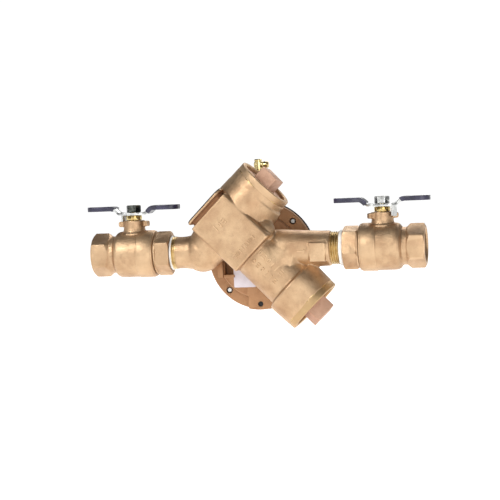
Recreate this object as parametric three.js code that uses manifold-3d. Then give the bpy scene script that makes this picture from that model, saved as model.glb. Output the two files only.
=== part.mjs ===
// Reduced-pressure backflow preventer, 1 inch, with two ball valves. Millimetres, +Z up,
// +X along the flow, origin at the centre of the inlet face.
import * as THREE from 'three';
import { mergeVertices } from 'three/addons/utils/BufferGeometryUtils.js';
import Module from 'manifold-3d';

const wasm = await Module();
wasm.setup();

// ---------------------------------------------------------------- driving dimensions
const LENGTH = 330; // inlet face to outlet face
const VALVE = 78.5; // length of one ball valve
const GAP = 0.3; // clearance between touching pieces
const BORE = 12.7; // waterway radius
const THREAD = 16.2; // radius of the body's end threads
const ENGAGED = 14; // thread length screwed into each valve
const CROSS = new THREE.Vector3(136.9, 0, 26.6); // where the two barrel axes cross
const BULB_U = -37.65; // inlet bulb centre, along barrel 1 from the crossing
const MOUTH_1 = 55.5; // mouth of barrel 1, along its axis from the crossing
const MOUTH_2 = 117.4; // mouth of barrel 2
const BARREL_R = 29.3;
const CHAMBER_R = 21.5; // bore of both check chambers
const MOUTH_R = 24.8; // bore of both mouths, where the caps screw in
const SEAT_1 = -19.5; // lip of the first check seat, along barrel 1
const SEAT_2 = 38.2; // lip of the second check seat, along barrel 2
const RELIEF = new THREE.Vector3(162, 0, -6.9); // relief valve axis, along +Y
const FLANGE_R = 53.3;
const FLANGE_Y = 30; // front face of the relief flange
const FLANGE_T = 9;
const BOLT_CIRCLE = 47.3;
const BOLTS = 8;
const STEM_X = 41.2; // ball valve stem, from the valve's outer end
const BALL_R = 16.2;
const SIDES = 14; // sides of an ordinary turned shape

const FINISH = {
  bronze: { color: 0xb08d68, roughness: 0.55, metalness: 0.85 },
  brass: { color: 0xc9a560, roughness: 0.25, metalness: 1 },
  chrome: { color: 0xd8d8d8, roughness: 0.12, metalness: 1 },
  zinc: { color: 0xa9abad, roughness: 0.35, metalness: 1 },
  steel: { color: 0x9a9a98, roughness: 0.35, metalness: 1 },
  rubber: { color: 0x1c1c1e, roughness: 0.8, metalness: 0 },
  vinyl: { color: 0x3b3850, roughness: 0.45, metalness: 0 },
  ptfe: { color: 0xf2f2ee, roughness: 0.5, metalness: 0 },
  plastic: { color: 0x3d4a52, roughness: 0.5, metalness: 0 },
};

// ---------------------------------------------------------------- solids
function signedVolume(positions, triangles) {
  const [a, b, c] = [new THREE.Vector3(), new THREE.Vector3(), new THREE.Vector3()];
  let sum = 0;
  for (let i = 0; i < triangles.length; i += 3) {
    a.fromArray(positions, 3 * triangles[i]);
    b.fromArray(positions, 3 * triangles[i + 1]);
    c.fromArray(positions, 3 * triangles[i + 2]);
    sum += a.dot(b.cross(c));
  }
  return sum;
}

// A three.js geometry as a closed solid, with merged corners and faces pointing out.
function solid(geometry) {
  const bare = geometry.clone();
  bare.deleteAttribute('normal');
  bare.deleteAttribute('uv');
  const merged = mergeVertices(bare, 1e-4);
  const positions = Float32Array.from(merged.attributes.position.array);
  const triangles = [];
  const index = merged.index.array;
  for (let i = 0; i < index.length; i += 3) {
    const [a, b, c] = [index[i], index[i + 1], index[i + 2]];
    if (a !== b && b !== c && c !== a) triangles.push(a, b, c);
  }
  if (signedVolume(positions, triangles) < 0) triangles.reverse();
  const mesh = { numProp: 3, vertProperties: positions, triVerts: Uint32Array.from(triangles) };
  return new wasm.Manifold(new wasm.Mesh(mesh));
}

// Turned about +Z: each point is [radius, height]. A profile off the axis closes on itself.
function turned(points, segments = SIDES) {
  const profile = points.map(([r, h]) => new THREE.Vector2(r, h));
  if (points[0][0] > 0) profile.push(profile[0].clone());
  return solid(new THREE.LatheGeometry(profile, segments).rotateX(Math.PI / 2));
}

const rod = (r, low, high, segments = SIDES) =>
  turned([[0, low], [r, low], [r, high], [0, high]], segments);

const ring = (inner, outer, low, high, segments = SIDES) =>
  turned([[inner, low], [outer, low], [outer, high], [inner, high]], segments);

const ball = (r, across = 16, down = 10) => solid(new THREE.SphereGeometry(r, across, down));

function block(low, high) {
  const size = high.map((value, i) => value - low[i]);
  const centre = high.map((value, i) => (value + low[i]) / 2);
  return solid(new THREE.BoxGeometry(...size).translate(...centre));
}

// An outline in the XY plane raised from low to high along Z.
function raised(shape, low, high, curveSegments = 8) {
  const options = { depth: high - low, bevelEnabled: false, curveSegments };
  return solid(new THREE.ExtrudeGeometry(shape, options).translate(0, 0, low));
}

function polygon(sides, acrossFlats, turn = 0) {
  const shape = new THREE.Shape();
  const radius = acrossFlats / 2 / Math.cos(Math.PI / sides);
  for (let i = 0; i < sides; i += 1) {
    const angle = turn + (2 * Math.PI * (i + 0.5)) / sides;
    const [x, y] = [radius * Math.cos(angle), radius * Math.sin(angle)];
    if (i === 0) shape.moveTo(x, y);
    else shape.lineTo(x, y);
  }
  return shape.closePath();
}

function roundedBox(left, right, bottom, top, radius) {
  const shape = new THREE.Shape();
  shape.moveTo(left + radius, bottom);
  shape.absarc(right - radius, bottom + radius, radius, -Math.PI / 2, 0, false);
  shape.absarc(right - radius, top - radius, radius, 0, Math.PI / 2, false);
  shape.absarc(left + radius, top - radius, radius, Math.PI / 2, Math.PI, false);
  shape.absarc(left + radius, bottom + radius, radius, Math.PI, 1.5 * Math.PI, false);
  return shape;
}

// A six-sided bar with both ends chamfered, its flats facing the given turn.
function hexagon(acrossFlats, low, high, chamfer, turn = 0) {
  const corner = acrossFlats / 2 / Math.cos(Math.PI / 6);
  return turned([
    [0, low], [corner - chamfer, low], [corner, low + chamfer * 0.8],
    [corner, high - chamfer * 0.8], [corner - chamfer, high], [0, high],
  ], 6).rotate([0, 0, THREE.MathUtils.radToDeg(turn)]);
}

function placed(part, matrix) {
  return part.transform(matrix.elements);
}

// A frame with its own z along the given direction and its own y towards the viewer's side.
function along(origin, z, y = new THREE.Vector3(0, -1, 0)) {
  const x = new THREE.Vector3().crossVectors(y, z);
  return new THREE.Matrix4().makeBasis(x, y, z).setPosition(origin);
}

const SLOPE = Math.SQRT1_2;
const PIPE = along(new THREE.Vector3(), new THREE.Vector3(1, 0, 0));
const BARREL_1 = along(CROSS, new THREE.Vector3(SLOPE, 0, SLOPE));
const BARREL_2 = along(CROSS, new THREE.Vector3(SLOPE, 0, -SLOPE));
const RELIEF_AXIS = along(RELIEF, new THREE.Vector3(0, 1, 0), new THREE.Vector3(0, 0, -1));
const backward = (x, z) =>
  along(new THREE.Vector3(x, 0, z), new THREE.Vector3(0, 1, 0), new THREE.Vector3(0, 0, -1));
const upright = (x, y) => new THREE.Matrix4().makeTranslation(x, y, 0);

const joined = (...parts) => parts.reduce((sum, part) => sum.add(part));
const cut = (part, ...tools) => tools.reduce((rest, tool) => rest.subtract(tool), part);

// ---------------------------------------------------------------- scene graph
const model = new THREE.Group();

function geometryOf(part) {
  const { vertProperties, triVerts } = part.getMesh();
  const geometry = new THREE.BufferGeometry();
  geometry.setAttribute('position', new THREE.BufferAttribute(vertProperties, 3));
  geometry.setIndex(new THREE.BufferAttribute(triVerts, 1));
  geometry.computeVertexNormals();
  return geometry;
}

function add(group, name, part, finish, matrix = new THREE.Matrix4()) {
  const mesh = new THREE.Mesh(geometryOf(part), new THREE.MeshStandardMaterial(FINISH[finish]));
  mesh.name = name;
  matrix.decompose(mesh.position, mesh.quaternion, mesh.scale);
  group.add(mesh);
}

// ---------------------------------------------------------------- body casting
const BLOCK = { left: -23.8, right: 25, front: 32, low: -25.7, high: 40.4 };
const HUB_FRONT = 19; // front face of the relief hub and its spout
const SPOUT = { left: 150, right: 173, back: 30.5, low: -61, top: -25 };
const SENSING = { x: 115.5, z: 3, r: 1.6 }; // passage from the inlet bulb to the relief cover
const COCK_2 = { x: 104, z: 0 }; // test cock on the inlet bulb, pointing backwards
const COCK_3 = { x: 162.3, y: 32.5, z: 72 }; // test cock beside the mouth of barrel 1
const COCK_4 = { x: 226, z: 0 }; // test cock on the outlet neck, pointing backwards
const COCK_BASE = 25; // how far the backward bosses reach from the pipe axis
const TAPPED = 4.3; // radius of a test cock's tapped hole

function inletOutside() {
  const start = VALVE - ENGAGED;
  const neck = turned([
    [0, start], [THREAD - 1, start], [THREAD, start + 1], [THREAD, 83.6], [15.5, 84.6],
    [15.7, 93], [17, 102], [18, 107], [0, 107],
  ]);
  const bulb = ball(19.8, 20, 12).translate(0, 0, 110.3);
  return placed(joined(neck, bulb), PIPE);
}

function barrelOutside1() {
  return placed(turned([
    [0, -34], [19.6, -34], [20.8, -29], [22.4, -24], [BARREL_R, -13], [BARREL_R, 48.7], [BARREL_R - 0.4, 49],
    [BARREL_R - 0.4, MOUTH_1 - 0.6], [BARREL_R - 1, MOUTH_1], [0, MOUTH_1],
  ], 24), BARREL_1);
}

function barrelOutside2() {
  const step = 85.2;
  return placed(turned([
    [0, 0], [25.6, 0], [25.9, step - 2], [27, step - 0.5], [30.2, step + 3], [30, 105],
    [29.5, 110.4], [29, 110.7], [29, MOUTH_2 - 0.6], [28.4, MOUTH_2], [0, MOUTH_2],
  ], 24), BARREL_2);
}

function crossingBlock() {
  const { left, right, front, low, high } = BLOCK;
  const outline = roundedBox(left, right, -front, front, 12);
  const lip = roundedBox(left + 3.2, right - 1, -front + 3.5, front - 3.5, 10);
  const parts = joined(raised(outline, low + 3.5, high, 5), raised(lip, low, low + 4, 5));
  return placed(parts, BARREL_2);
}

function outletOutside() {
  const end = LENGTH - VALVE + ENGAGED;
  const neck = turned([
    [0, 158], [19.8, 158], [19.6, 190], [17.6, 219], [17, 238], [THREAD - 0.6, 238.8],
    [THREAD, 239.4], [THREAD, end - 1], [THREAD - 1, end], [0, end],
  ]);
  const pad = block([219.5, -19.2, -12], [233.5, -8, 6]);
  return joined(placed(neck, PIPE), pad);
}

function reliefOutside() {
  const hub = turned([
    [0, HUB_FRONT], [40, HUB_FRONT], [41, HUB_FRONT + 1], [41, FLANGE_Y], [FLANGE_R - 0.6, FLANGE_Y],
    [FLANGE_R, FLANGE_Y + 0.6], [FLANGE_R, FLANGE_Y + FLANGE_T], [0, FLANGE_Y + FLANGE_T],
  ], 24);
  const { left, right, back, low, top } = SPOUT;
  const beyond = placed(ring(FLANGE_R - 0.6, FLANGE_R + 30, 0, 50, 24), RELIEF_AXIS);
  const spout = cut(block([left, HUB_FRONT, low], [right, back + 1, top]), beyond);
  const rib = block([121, 12, -24], [128, 31, -10]);
  return joined(placed(hub, RELIEF_AXIS), spout, rib);
}

function bosses() {
  const backBoss = ({ x, z }) => placed(rod(7, 8, COCK_BASE, 12), backward(x, z));
  const sensing = placed(rod(4.5, 8, FLANGE_Y + 1, 10), backward(SENSING.x, SENSING.z));
  const top = placed(rod(7, 50, COCK_3.z, 12), upright(COCK_3.x, COCK_3.y));
  const bridge = block([COCK_3.x - 7, 18, 50], [COCK_3.x + 4, COCK_3.y, COCK_3.z - 2]);
  return joined(backBoss(COCK_2), backBoss(COCK_4), sensing, top, bridge);
}

// The bore of one check: chamber, threaded mouth and the pocket its seat is pressed into.
function checkBore(seat, mouth, passage) {
  return joined(
    rod(13, passage, seat),
    rod(17.2, seat - 7.9, seat),
    rod(CHAMBER_R, seat - 0.4, mouth - 18),
    rod(MOUTH_R, mouth - 19.5, mouth + 1),
  );
}

function waterways() {
  const inlet = joined(
    rod(BORE, VALVE - ENGAGED - 1, 111),
    ball(15.2, 16, 8).translate(0, 0, 110.3),
  );
  const outlet = rod(BORE, 178, LENGTH - VALVE + ENGAGED + 1);
  const between = rod(20.5, BLOCK.low + 8, SEAT_2 - 11);
  return joined(
    placed(joined(inlet, outlet), PIPE),
    placed(checkBore(SEAT_1, MOUTH_1, BULB_U), BARREL_1),
    placed(joined(between, checkBore(SEAT_2, MOUTH_2, SEAT_2 - 12)), BARREL_2),
  );
}

function reliefHollows() {
  const sensingRoom = placed(rod(34, FLANGE_Y + 1.3, FLANGE_Y + FLANGE_T + 1, 20), RELIEF_AXIS);
  const seatHole = placed(rod(12.3, 23, 33, 24), RELIEF_AXIS);
  const discharge = placed(rod(33, 22, FLANGE_Y - 1.5, 16), RELIEF_AXIS);
  const { left, right, back, low } = SPOUT;
  const throat = block([left + 3, HUB_FRONT + 2.6, low - 1], [right - 3, back - 3, -22]);
  const sight = placed(rod(2.6, HUB_FRONT - 1, HUB_FRONT + 4, 10),
    backward(RELIEF.x, RELIEF.z - BOLT_CIRCLE));
  const walls = joined(
    placed(rod(25, -45, MOUTH_1), BARREL_1),
    placed(rod(25, -31, MOUTH_2), BARREL_2),
  );
  const port = placed(rod(4, 12, 33, 8), backward(140, 8));
  return joined(cut(joined(seatHole, discharge, throat), walls), sensingRoom, port, sight);
}

function drillings() {
  const tap = ({ x, z }) => placed(
    joined(rod(TAPPED, COCK_BASE - 10, COCK_BASE + 1, 10), rod(2, 5, COCK_BASE - 9, 8)),
    backward(x, z),
  );
  const topTap = placed(
    joined(rod(TAPPED, COCK_3.z - 10, COCK_3.z + 1, 10), rod(2, 53, COCK_3.z - 9, 8)),
    upright(COCK_3.x, COCK_3.y),
  );
  const topCross = placed(rod(2, 14, COCK_3.y + 1.5, 8), backward(COCK_3.x, 55));
  const sensing = placed(rod(SENSING.r, 6, FLANGE_Y + FLANGE_T + 1, 10),
    backward(SENSING.x, SENSING.z));
  const bolts = boltPlaces().map((place) =>
    placed(rod(3.2, FLANGE_Y - 1, FLANGE_Y + FLANGE_T + 1, 8), place));
  return joined(tap(COCK_2), tap(COCK_4), topTap, topCross, sensing, ...bolts);
}

function boltPlaces() {
  return Array.from({ length: BOLTS }, (_, i) => {
    const angle = (2 * Math.PI * i) / BOLTS;
    return backward(
      RELIEF.x + BOLT_CIRCLE * Math.cos(angle), RELIEF.z + BOLT_CIRCLE * Math.sin(angle),
    );
  });
}

function bodyCasting() {
  const outside = joined(inletOutside(), barrelOutside1(), barrelOutside2(), crossingBlock(),
    outletOutside(), reliefOutside(), bosses());
  return cut(outside, waterways(), reliefHollows(), drillings());
}

// ---------------------------------------------------------------- check valves
function coil(radius, wire, low, high, turns) {
  const points = [];
  const steps = Math.round(turns * 9);
  for (let i = 0; i <= steps; i += 1) {
    const angle = (2 * Math.PI * turns * i) / steps;
    const height = low + wire + ((high - low - 2 * wire) * i) / steps;
    points.push(new THREE.Vector3(radius * Math.cos(angle), radius * Math.sin(angle), height));
  }
  const path = new THREE.CatmullRomCurve3(points);
  return solid(new THREE.ExtrudeGeometry(new THREE.Shape(polygon(6, 2 * wire * 0.93).getPoints()),
    { steps, extrudePath: path, bevelEnabled: false }));
}

function checkSeat(seat) {
  return turned([
    [12.7, seat - 7.6], [16.9, seat - 7.6], [16.9, seat - 1.5], [15, seat - 1.2],
    [14.4, seat], [13.4, seat], [12.7, seat - 1],
  ]);
}

function checkPoppet(seat) {
  const guide = rod(3.8, seat + 9, seat + 27, 16);
  const holder = turned([
    [0, seat + 3.8], [10, seat + 3.8], [18.8, seat + 3.8], [18.8, seat + 8], [17, seat + 9.5],
    [9, seat + 9.5], [7, seat + 12], [0, seat + 12],
  ]);
  const rim = ring(17.4, 18.8, seat + 0.8, seat + 4);
  return joined(guide, holder, rim);
}

const checkDisc = (seat) => rod(17, seat + 0.2, seat + 3.5);

function checkCap(mouth, seat, lug) {
  const inner = mouth - 17.5;
  const top = mouth - 3.5;
  const cup = turned([
    [0, inner], [21.3, inner], [21.3, inner + 1], [21.3, inner + 4.3], [24.5, inner + 4.3],
    [24.5, top], [0, top],
  ]);
  const shoulder = ring(21, 24.5, inner, inner + 1.2);
  const square = raised(polygon(4, lug.across, lug.turn), top - 1, mouth + lug.height);
  const hollow = turned([[0, inner - 1], [16.5, inner - 1], [16.5, top - 5], [0, top - 5]], 24);
  const socket = ring(4.3, 8.5, inner - 3, top - 4, 20);
  const bored = rod(4.3, inner - 1, mouth + lug.height - 4, 20);
  return cut(joined(cut(joined(cup, shoulder, square), hollow), socket), bored);
}

const capRing = (mouth) => ring(21.6, 24.4, mouth - 16, mouth - 13.6);

function addCheck(name, frame, seat, mouth, lug) {
  add(model, `${name}_cap`, checkCap(mouth, seat, lug), 'bronze', frame);
  add(model, `${name}_cap_oring`, capRing(mouth), 'rubber', frame);
  add(model, `${name}_seat`, checkSeat(seat), 'plastic', frame);
  add(model, `${name}_poppet`, checkPoppet(seat), 'plastic', frame);
  add(model, `${name}_seal_disc`, checkDisc(seat), 'rubber', frame);
  add(model, `${name}_spring`, coil(12.6, 1, seat + 9.8, mouth - 22.8, 4.5), 'steel', frame);
}

// ---------------------------------------------------------------- relief valve
const DIAPHRAGM_Y = FLANGE_Y + FLANGE_T + GAP;
const COVER_Y = DIAPHRAGM_Y + 2 + GAP;

const holesThrough = (part, low, high) =>
  cut(part, ...boltPlaces().map((place) => placed(rod(3.2, low, high, 8), place)),
    placed(rod(SENSING.r, low, high, 10), backward(SENSING.x, SENSING.z)));

function diaphragm() {
  const y = DIAPHRAGM_Y;
  const sheet = turned([
    [0, 50.6], [23, 50.6], [26, 49.5], [28, 46], [30, y + 0.8], [33, y], [54.2, y], [54.2, y + 2],
    [34, y + 2], [31.6, y + 3], [29.8, 47], [27.6, 51], [24, 52.4], [0, 52.4],
  ], 24);
  return holesThrough(placed(sheet, RELIEF_AXIS), y - 1, y + 3);
}

function reliefCover() {
  const y = COVER_Y;
  const shell = turned([
    [0, 62], [24, 62], [31, 59], [34, 54], [34, y], [52.5, y], [52.5, y + 5], [41, y + 5],
    [38, y + 8], [38, 55], [34, 63], [25, 66], [0, 66],
  ], 24);
  const passage = placed(rod(SENSING.r, 30, 47, 10), new THREE.Matrix4().makeRotationY(Math.PI / 2)
    .setPosition(RELIEF.x, 0, 0));
  const slot = block([SENSING.x - 1, y - 1, SENSING.z - 1], [130, y + 1.5, SENSING.z + 1]);
  return cut(holesThrough(placed(shell, RELIEF_AXIS), y - 1, y + 8), slot, passage);
}

function reliefPiston() {
  const plate = joined(ring(3.8, 22, 47, 50.2), ring(3.8, 8, 45, 47.1));
  return plate;
}

function reliefStem() {
  return turned([
    [0, 33.5], [3.2, 33.5], [4, 34.3], [4, 42], [12.4, 42], [12.4, 44], [5, 44.6], [3.5, 44.6],
    [3.5, 50], [0, 50],
  ], 12);
}

const reliefSeat = () => turned([[8.5, 28.8], [12, 28.8], [12, 31], [10, 31.2], [8.5, 31.2]]);
const reliefDisc = () => ring(4.3, 11.5, 39, 41.7);

function coverBolt(tip) {
  const head = hexagon(10, COVER_Y + 5.3, COVER_Y + 9.3, 0.8);
  return joined(rod(2.9, tip, COVER_Y + 6, 10), head);
}

function addRelief() {
  add(model, 'relief_diaphragm', diaphragm(), 'rubber');
  add(model, 'relief_cover', reliefCover(), 'bronze');
  add(model, 'relief_piston', reliefPiston(), 'brass', RELIEF_AXIS);
  add(model, 'relief_stem', reliefStem(), 'steel', RELIEF_AXIS);
  add(model, 'relief_seat', reliefSeat(), 'plastic', RELIEF_AXIS);
  add(model, 'relief_seal_disc', reliefDisc(), 'rubber', RELIEF_AXIS);
  add(model, 'relief_spring', coil(16.5, 1, FLANGE_Y + 1.6, 46.7, 3), 'steel', RELIEF_AXIS);
  const SHORT_BOLT = 6; // the lowest bolt's tip stays deep in its hole
  boltPlaces().forEach((place, i) => {
    const tip = FLANGE_Y + (i === SHORT_BOLT ? 5 : 0.4);
    add(model, `cover_bolt_${i + 1}`, coverBolt(tip), 'zinc', place);
  });
}

// ---------------------------------------------------------------- test cocks
const COCK = { stemAt: 11.5, top: 17.3, r: 3.9 };

// The cock stands on +Z with its slotted plug along +X.
function testCockBody() {
  const { stemAt, top, r } = COCK;
  const tail = rod(TAPPED - GAP, -9, 1, 10);
  const hex = hexagon(10.5, GAP, 5, 0.7);
  const barrel = turned([[0, 4], [r, 4], [r, top - 1.2], [r - 1, top], [0, top]], 12);
  const cheek = rod(3.4, -3.6, 5.2, 10).rotate([0, 90, 0]).translate(0, 0, stemAt);
  const plugHole = rod(2.5, -4.5, 6, 8).rotate([0, 90, 0]).translate(0, 0, stemAt);
  return cut(joined(tail, hex, barrel, cheek), rod(1.3, -10, top + 1, 6), plugHole);
}

function testCockStem() {
  const plug = turned([
    [0, -3.4], [2.1, -3.4], [2.1, 5.5], [3.1, 5.5], [3.3, 6.2], [3.3, 9.6], [2.6, 10.4], [0, 10.4],
  ], 10);
  const slot = block([-4, -0.6, 8.6], [4, 0.6, 11]);
  const waterway = rod(1.2, -4, 4, 6).rotate([0, 90, 0]);
  return cut(plug, slot, waterway).rotate([0, 90, 0]).translate(0, 0, COCK.stemAt);
}

function addTestCock(number, matrix) {
  add(model, `test_cock_${number}_body`, testCockBody(), 'brass', matrix);
  add(model, `test_cock_${number}_stem`, testCockStem(), 'brass', matrix);
}

// A cock pointing backwards, its slotted plug turned to +X or, turned half round, to -X.
const backCock = (x, base, turn = 0) => new THREE.Matrix4().makeRotationX(-Math.PI / 2)
  .multiply(new THREE.Matrix4().makeRotationZ(turn)).setPosition(x, base, 0);

// ---------------------------------------------------------------- ball valves
const CASE_R = 22.8;
const CASE_COCK = { x: 47.2, base: 28.5 }; // test cock on the back of the case
const CAVITY_R = 18;
const HEX = 37.7;
const BOSS_TOP = 33.4;
const PLATE_Z = 38.9;

// Valve pieces are made along +X from the valve's outer end, then turned for the outlet.
const lying = (part) => placed(part, PIPE);
const standing = (part) => part.translate(STEM_X, 0, 0);

function valveBody(withCock) {
  const end = hexagon(HEX, 0, 16.4, 2.4, Math.PI / 6);
  const shell = turned([
    [0, 15], [18.2, 15], [18.2, 23], [20.6, 24], [22, 25.6], [CASE_R, 28.5], [CASE_R, 61.4],
    [22.3, 62.8], [21, 63.7], [0, 63.7],
  ], 24);
  const boss = standing(turned([[0, 12], [11.6, 21], [10.4, 25], [10.4, BOSS_TOP], [0, BOSS_TOP]],
    24));
  const lug = (turn) => standing(block([8, -2.6, 27], [15.4, 2.6, 32.4]).rotate([0, 0, turn]));
  const cockBoss = placed(rod(6.5, 15, CASE_COCK.base, 12), backward(CASE_COCK.x, 0));
  const socket = turned([[0, -1], [15.9, -1], [15.9, 0.2], [15.4, 0.8], [15, 15], [0, 15]]);
  const hollow = joined(socket, rod(BORE, 14, 26), rod(CAVITY_R, 24.7, 65));
  const stemWell = standing(joined(rod(6.3, 10, 40, 24), rod(8, 10, 20, 24)));
  const { x, base } = CASE_COCK;
  const tap = placed(joined(rod(TAPPED, base - 9.5, base + 1, 10), rod(2, 14, base - 9, 8)),
    backward(x, 0));
  const plain = joined(lying(joined(end, shell)), boss, lug(180), lug(0), lug(34));
  const whole = withCock ? cut(joined(plain, cockBoss), tap) : plain;
  return cut(whole, lying(hollow), stemWell);
}

function valveRetainer() {
  const nose = turned([[0, 57.8], [17.7, 57.8], [17.7, 64.2], [0, 64.2]]);
  const collar = turned([[0, 64], [21.2, 64], [21.2, 65.4], [0, 65.4]]);
  const hex = hexagon(HEX, 65, VALVE, 1.6, Math.PI / 6);
  const thread = turned([[0, VALVE - ENGAGED - 0.3], [THREAD + GAP + 0.1, VALVE - ENGAGED - 0.3],
    [THREAD + GAP + 0.1, VALVE + 1], [0, VALVE + 1]]);
  return lying(cut(joined(nose, collar, hex), rod(BORE, 57, VALVE), thread));
}

function valveSeat(side) {
  const [near, far] = [9, 16];
  const low = side > 0 ? STEM_X + near : STEM_X - far;
  const blank = ring(13.2, 17.6, low, low + far - near);
  return lying(cut(blank, ball(BALL_R + GAP, 24, 16).translate(0, 0, STEM_X)));
}

function valveBall() {
  const waterway = rod(12.2, -20, 20, 16).rotate([0, 90, 0]);
  const slot = block([-6.5, -2.9, 12.4], [6.5, 2.9, 20]);
  return standing(cut(ball(BALL_R, 20, 12), waterway, slot));
}

function valveStem() {
  const shaft = turned([
    [0, 16.6], [7.6, 16.6], [7.6, 19.4], [6, 19.6], [6, 33], [4.6, 33.4], [4.6, 49], [4, 49.6],
    [0, 49.6],
  ], 12);
  const flats = block([-3.6, -6, PLATE_Z - 0.6], [3.6, 6, 42]);
  const between = block([-9, -9, PLATE_Z - 0.6], [9, 9, 42]);
  const tang = block([-6, -2.5, 13], [6, 2.5, 17]);
  return standing(joined(cut(shaft, cut(between, flats)), tang));
}

function packingNut() {
  const nut = ring(5, 7.8, BOSS_TOP + GAP, 38.4, 12);
  const notches = [0, 1, 2].map((i) =>
    block([-10, -1.4, 36.2], [10, 1.4, 39]).rotate([0, 0, 60 * i + 30]));
  return standing(cut(nut, ...notches));
}

const HANDLE = { t: 2.2, plate: 13, rise: 21, tip: 46.3, wingZ: 45.6, width: 20 };

// Side view of one stamped arm: flat plate, inclined arm, level wing; side is +1 or -1.
function armSide(side, grow) {
  const { t, plate, rise, tip, wingZ } = HANDLE;
  const centre = [[0, PLATE_Z + t / 2], [plate, PLATE_Z + t / 2], [rise, wingZ], [tip, wingZ]];
  const half = t / 2 + grow;
  const [upper, lower] = [[], []];
  centre.forEach(([x, z], i) => {
    const before = centre[Math.max(i - 1, 0)];
    const after = centre[Math.min(i + 1, centre.length - 1)];
    const tangent = new THREE.Vector2(after[0] - before[0], after[1] - before[1]).normalize();
    upper.push([x - tangent.y * half, z + tangent.x * half]);
    lower.push([x + tangent.y * half, z - tangent.x * half]);
  });
  const shape = new THREE.Shape();
  [...upper, ...lower.reverse()].forEach(([x, z], i) => {
    if (i === 0) shape.moveTo(side * x, z);
    else shape.lineTo(side * x, z);
  });
  return raised(shape.closePath(), -20, 20).rotate([90, 0, 0]);
}

function handlePlan(grow) {
  const { plate, rise, tip, width } = HANDLE;
  const wing = (side) => {
    const low = side > 0 ? rise : -tip - grow;
    return raised(roundedBox(low, low + tip - rise + grow, -width / 2 - grow, width / 2 + grow, 8),
      30, 60, 5);
  };
  const arms = block([-rise - 6, -7 - grow, 30], [rise + 6, 7 + grow, 60]);
  const middle = block([-plate, -12, 30], [plate, 12, 60]);
  return grow > 0 ? joined(wing(1), wing(-1), arms) : joined(wing(1), wing(-1), arms, middle);
}

function valveHandle() {
  const strip = joined(armSide(1, 0), armSide(-1, 0)).intersect(handlePlan(0));
  const hole = rod(5, 30, 50, 20);
  const tab = block([-14.4, -3.4, 29], [-12.2, 3.4, PLATE_Z + 1]).rotate([0, 0, -28]);
  return standing(joined(cut(strip, hole), tab));
}

// A dipped sleeve over one wing, from its inner end to past the tip.
function handleGrip(side, inner) {
  const grow = 1.3;
  const outer = armSide(side, grow).intersect(handlePlan(grow + GAP));
  const strip = armSide(side, GAP * 0.9).intersect(handlePlan(GAP * 0.9));
  const span = side > 0 ? [inner, 60] : [-60, -inner];
  const keep = block([span[0], -20, 30], [span[1], 20, 60]);
  return standing(cut(outer.intersect(keep), strip));
}

function handleNut() {
  const nut = hexagon(12.8, PLATE_Z + HANDLE.t + GAP, 48.5, 0.9);
  return standing(cut(nut, rod(4.9, 30, 60, 20)));
}

function addBallValve(name, group) {
  const put = (piece, part, finish) => add(group, `${name}_${piece}`, part, finish);
  put('valve_body', valveBody(name === 'inlet'), 'bronze');
  put('valve_retainer', valveRetainer(), 'bronze');
  put('valve_ball', valveBall(), 'chrome');
  put('valve_seat_outer', valveSeat(-1), 'ptfe');
  put('valve_seat_inner', valveSeat(1), 'ptfe');
  put('valve_stem', valveStem(), 'brass');
  put('packing_nut', packingNut(), 'brass');
  put('handle', valveHandle(), 'zinc');
  put('grip_outer', handleGrip(-1, 23), 'vinyl');
  put('grip_inner', handleGrip(1, 14.5), 'vinyl');
  put('handle_nut', handleNut(), 'zinc');
  model.add(group);
}

// ---------------------------------------------------------------- assembly
add(model, 'body_casting', bodyCasting(), 'bronze');
addCheck('first_check', BARREL_1, SEAT_1, MOUTH_1, { height: 10, across: 19.5, turn: -0.26 });
addCheck('second_check', BARREL_2, SEAT_2, MOUTH_2, { height: 12.5, across: 22, turn: -0.47 });
addRelief();

const inletValve = new THREE.Group();
addBallValve('inlet', inletValve);
const outletValve = new THREE.Group();
outletValve.position.x = LENGTH;
outletValve.rotation.z = Math.PI;
addBallValve('outlet', outletValve);

addTestCock(1, backCock(CASE_COCK.x, CASE_COCK.base));
addTestCock(2, backCock(COCK_2.x, COCK_BASE, Math.PI));
addTestCock(3, new THREE.Matrix4().setPosition(COCK_3.x, COCK_3.y, COCK_3.z));
addTestCock(4, backCock(COCK_4.x, COCK_BASE));

const TAPE = ring(THREAD + GAP, 17.5, 0, 2.6);
const tapeAt = (x) => along(new THREE.Vector3(x, 0, 0), new THREE.Vector3(1, 0, 0));
add(model, 'inlet_thread_tape', TAPE, 'ptfe', tapeAt(VALVE + GAP));
add(model, 'outlet_thread_tape', TAPE, 'ptfe', tapeAt(LENGTH - VALVE - GAP - 2.6));

export default model;
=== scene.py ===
"""Looks of a one-inch reduced-pressure backflow preventer with a ball valve at each end.

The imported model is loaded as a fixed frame, and detailed pieces are built around it. Lengths in
this file are millimetres, turned into metres where a mesh is made. +X is the flow, +Z is up and
-Y is the front.
"""

from __future__ import annotations

import logging
import math
from dataclasses import dataclass, field
from enum import Enum
from typing import Callable, Sequence

import bpy
from mathutils import Matrix, Vector

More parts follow.
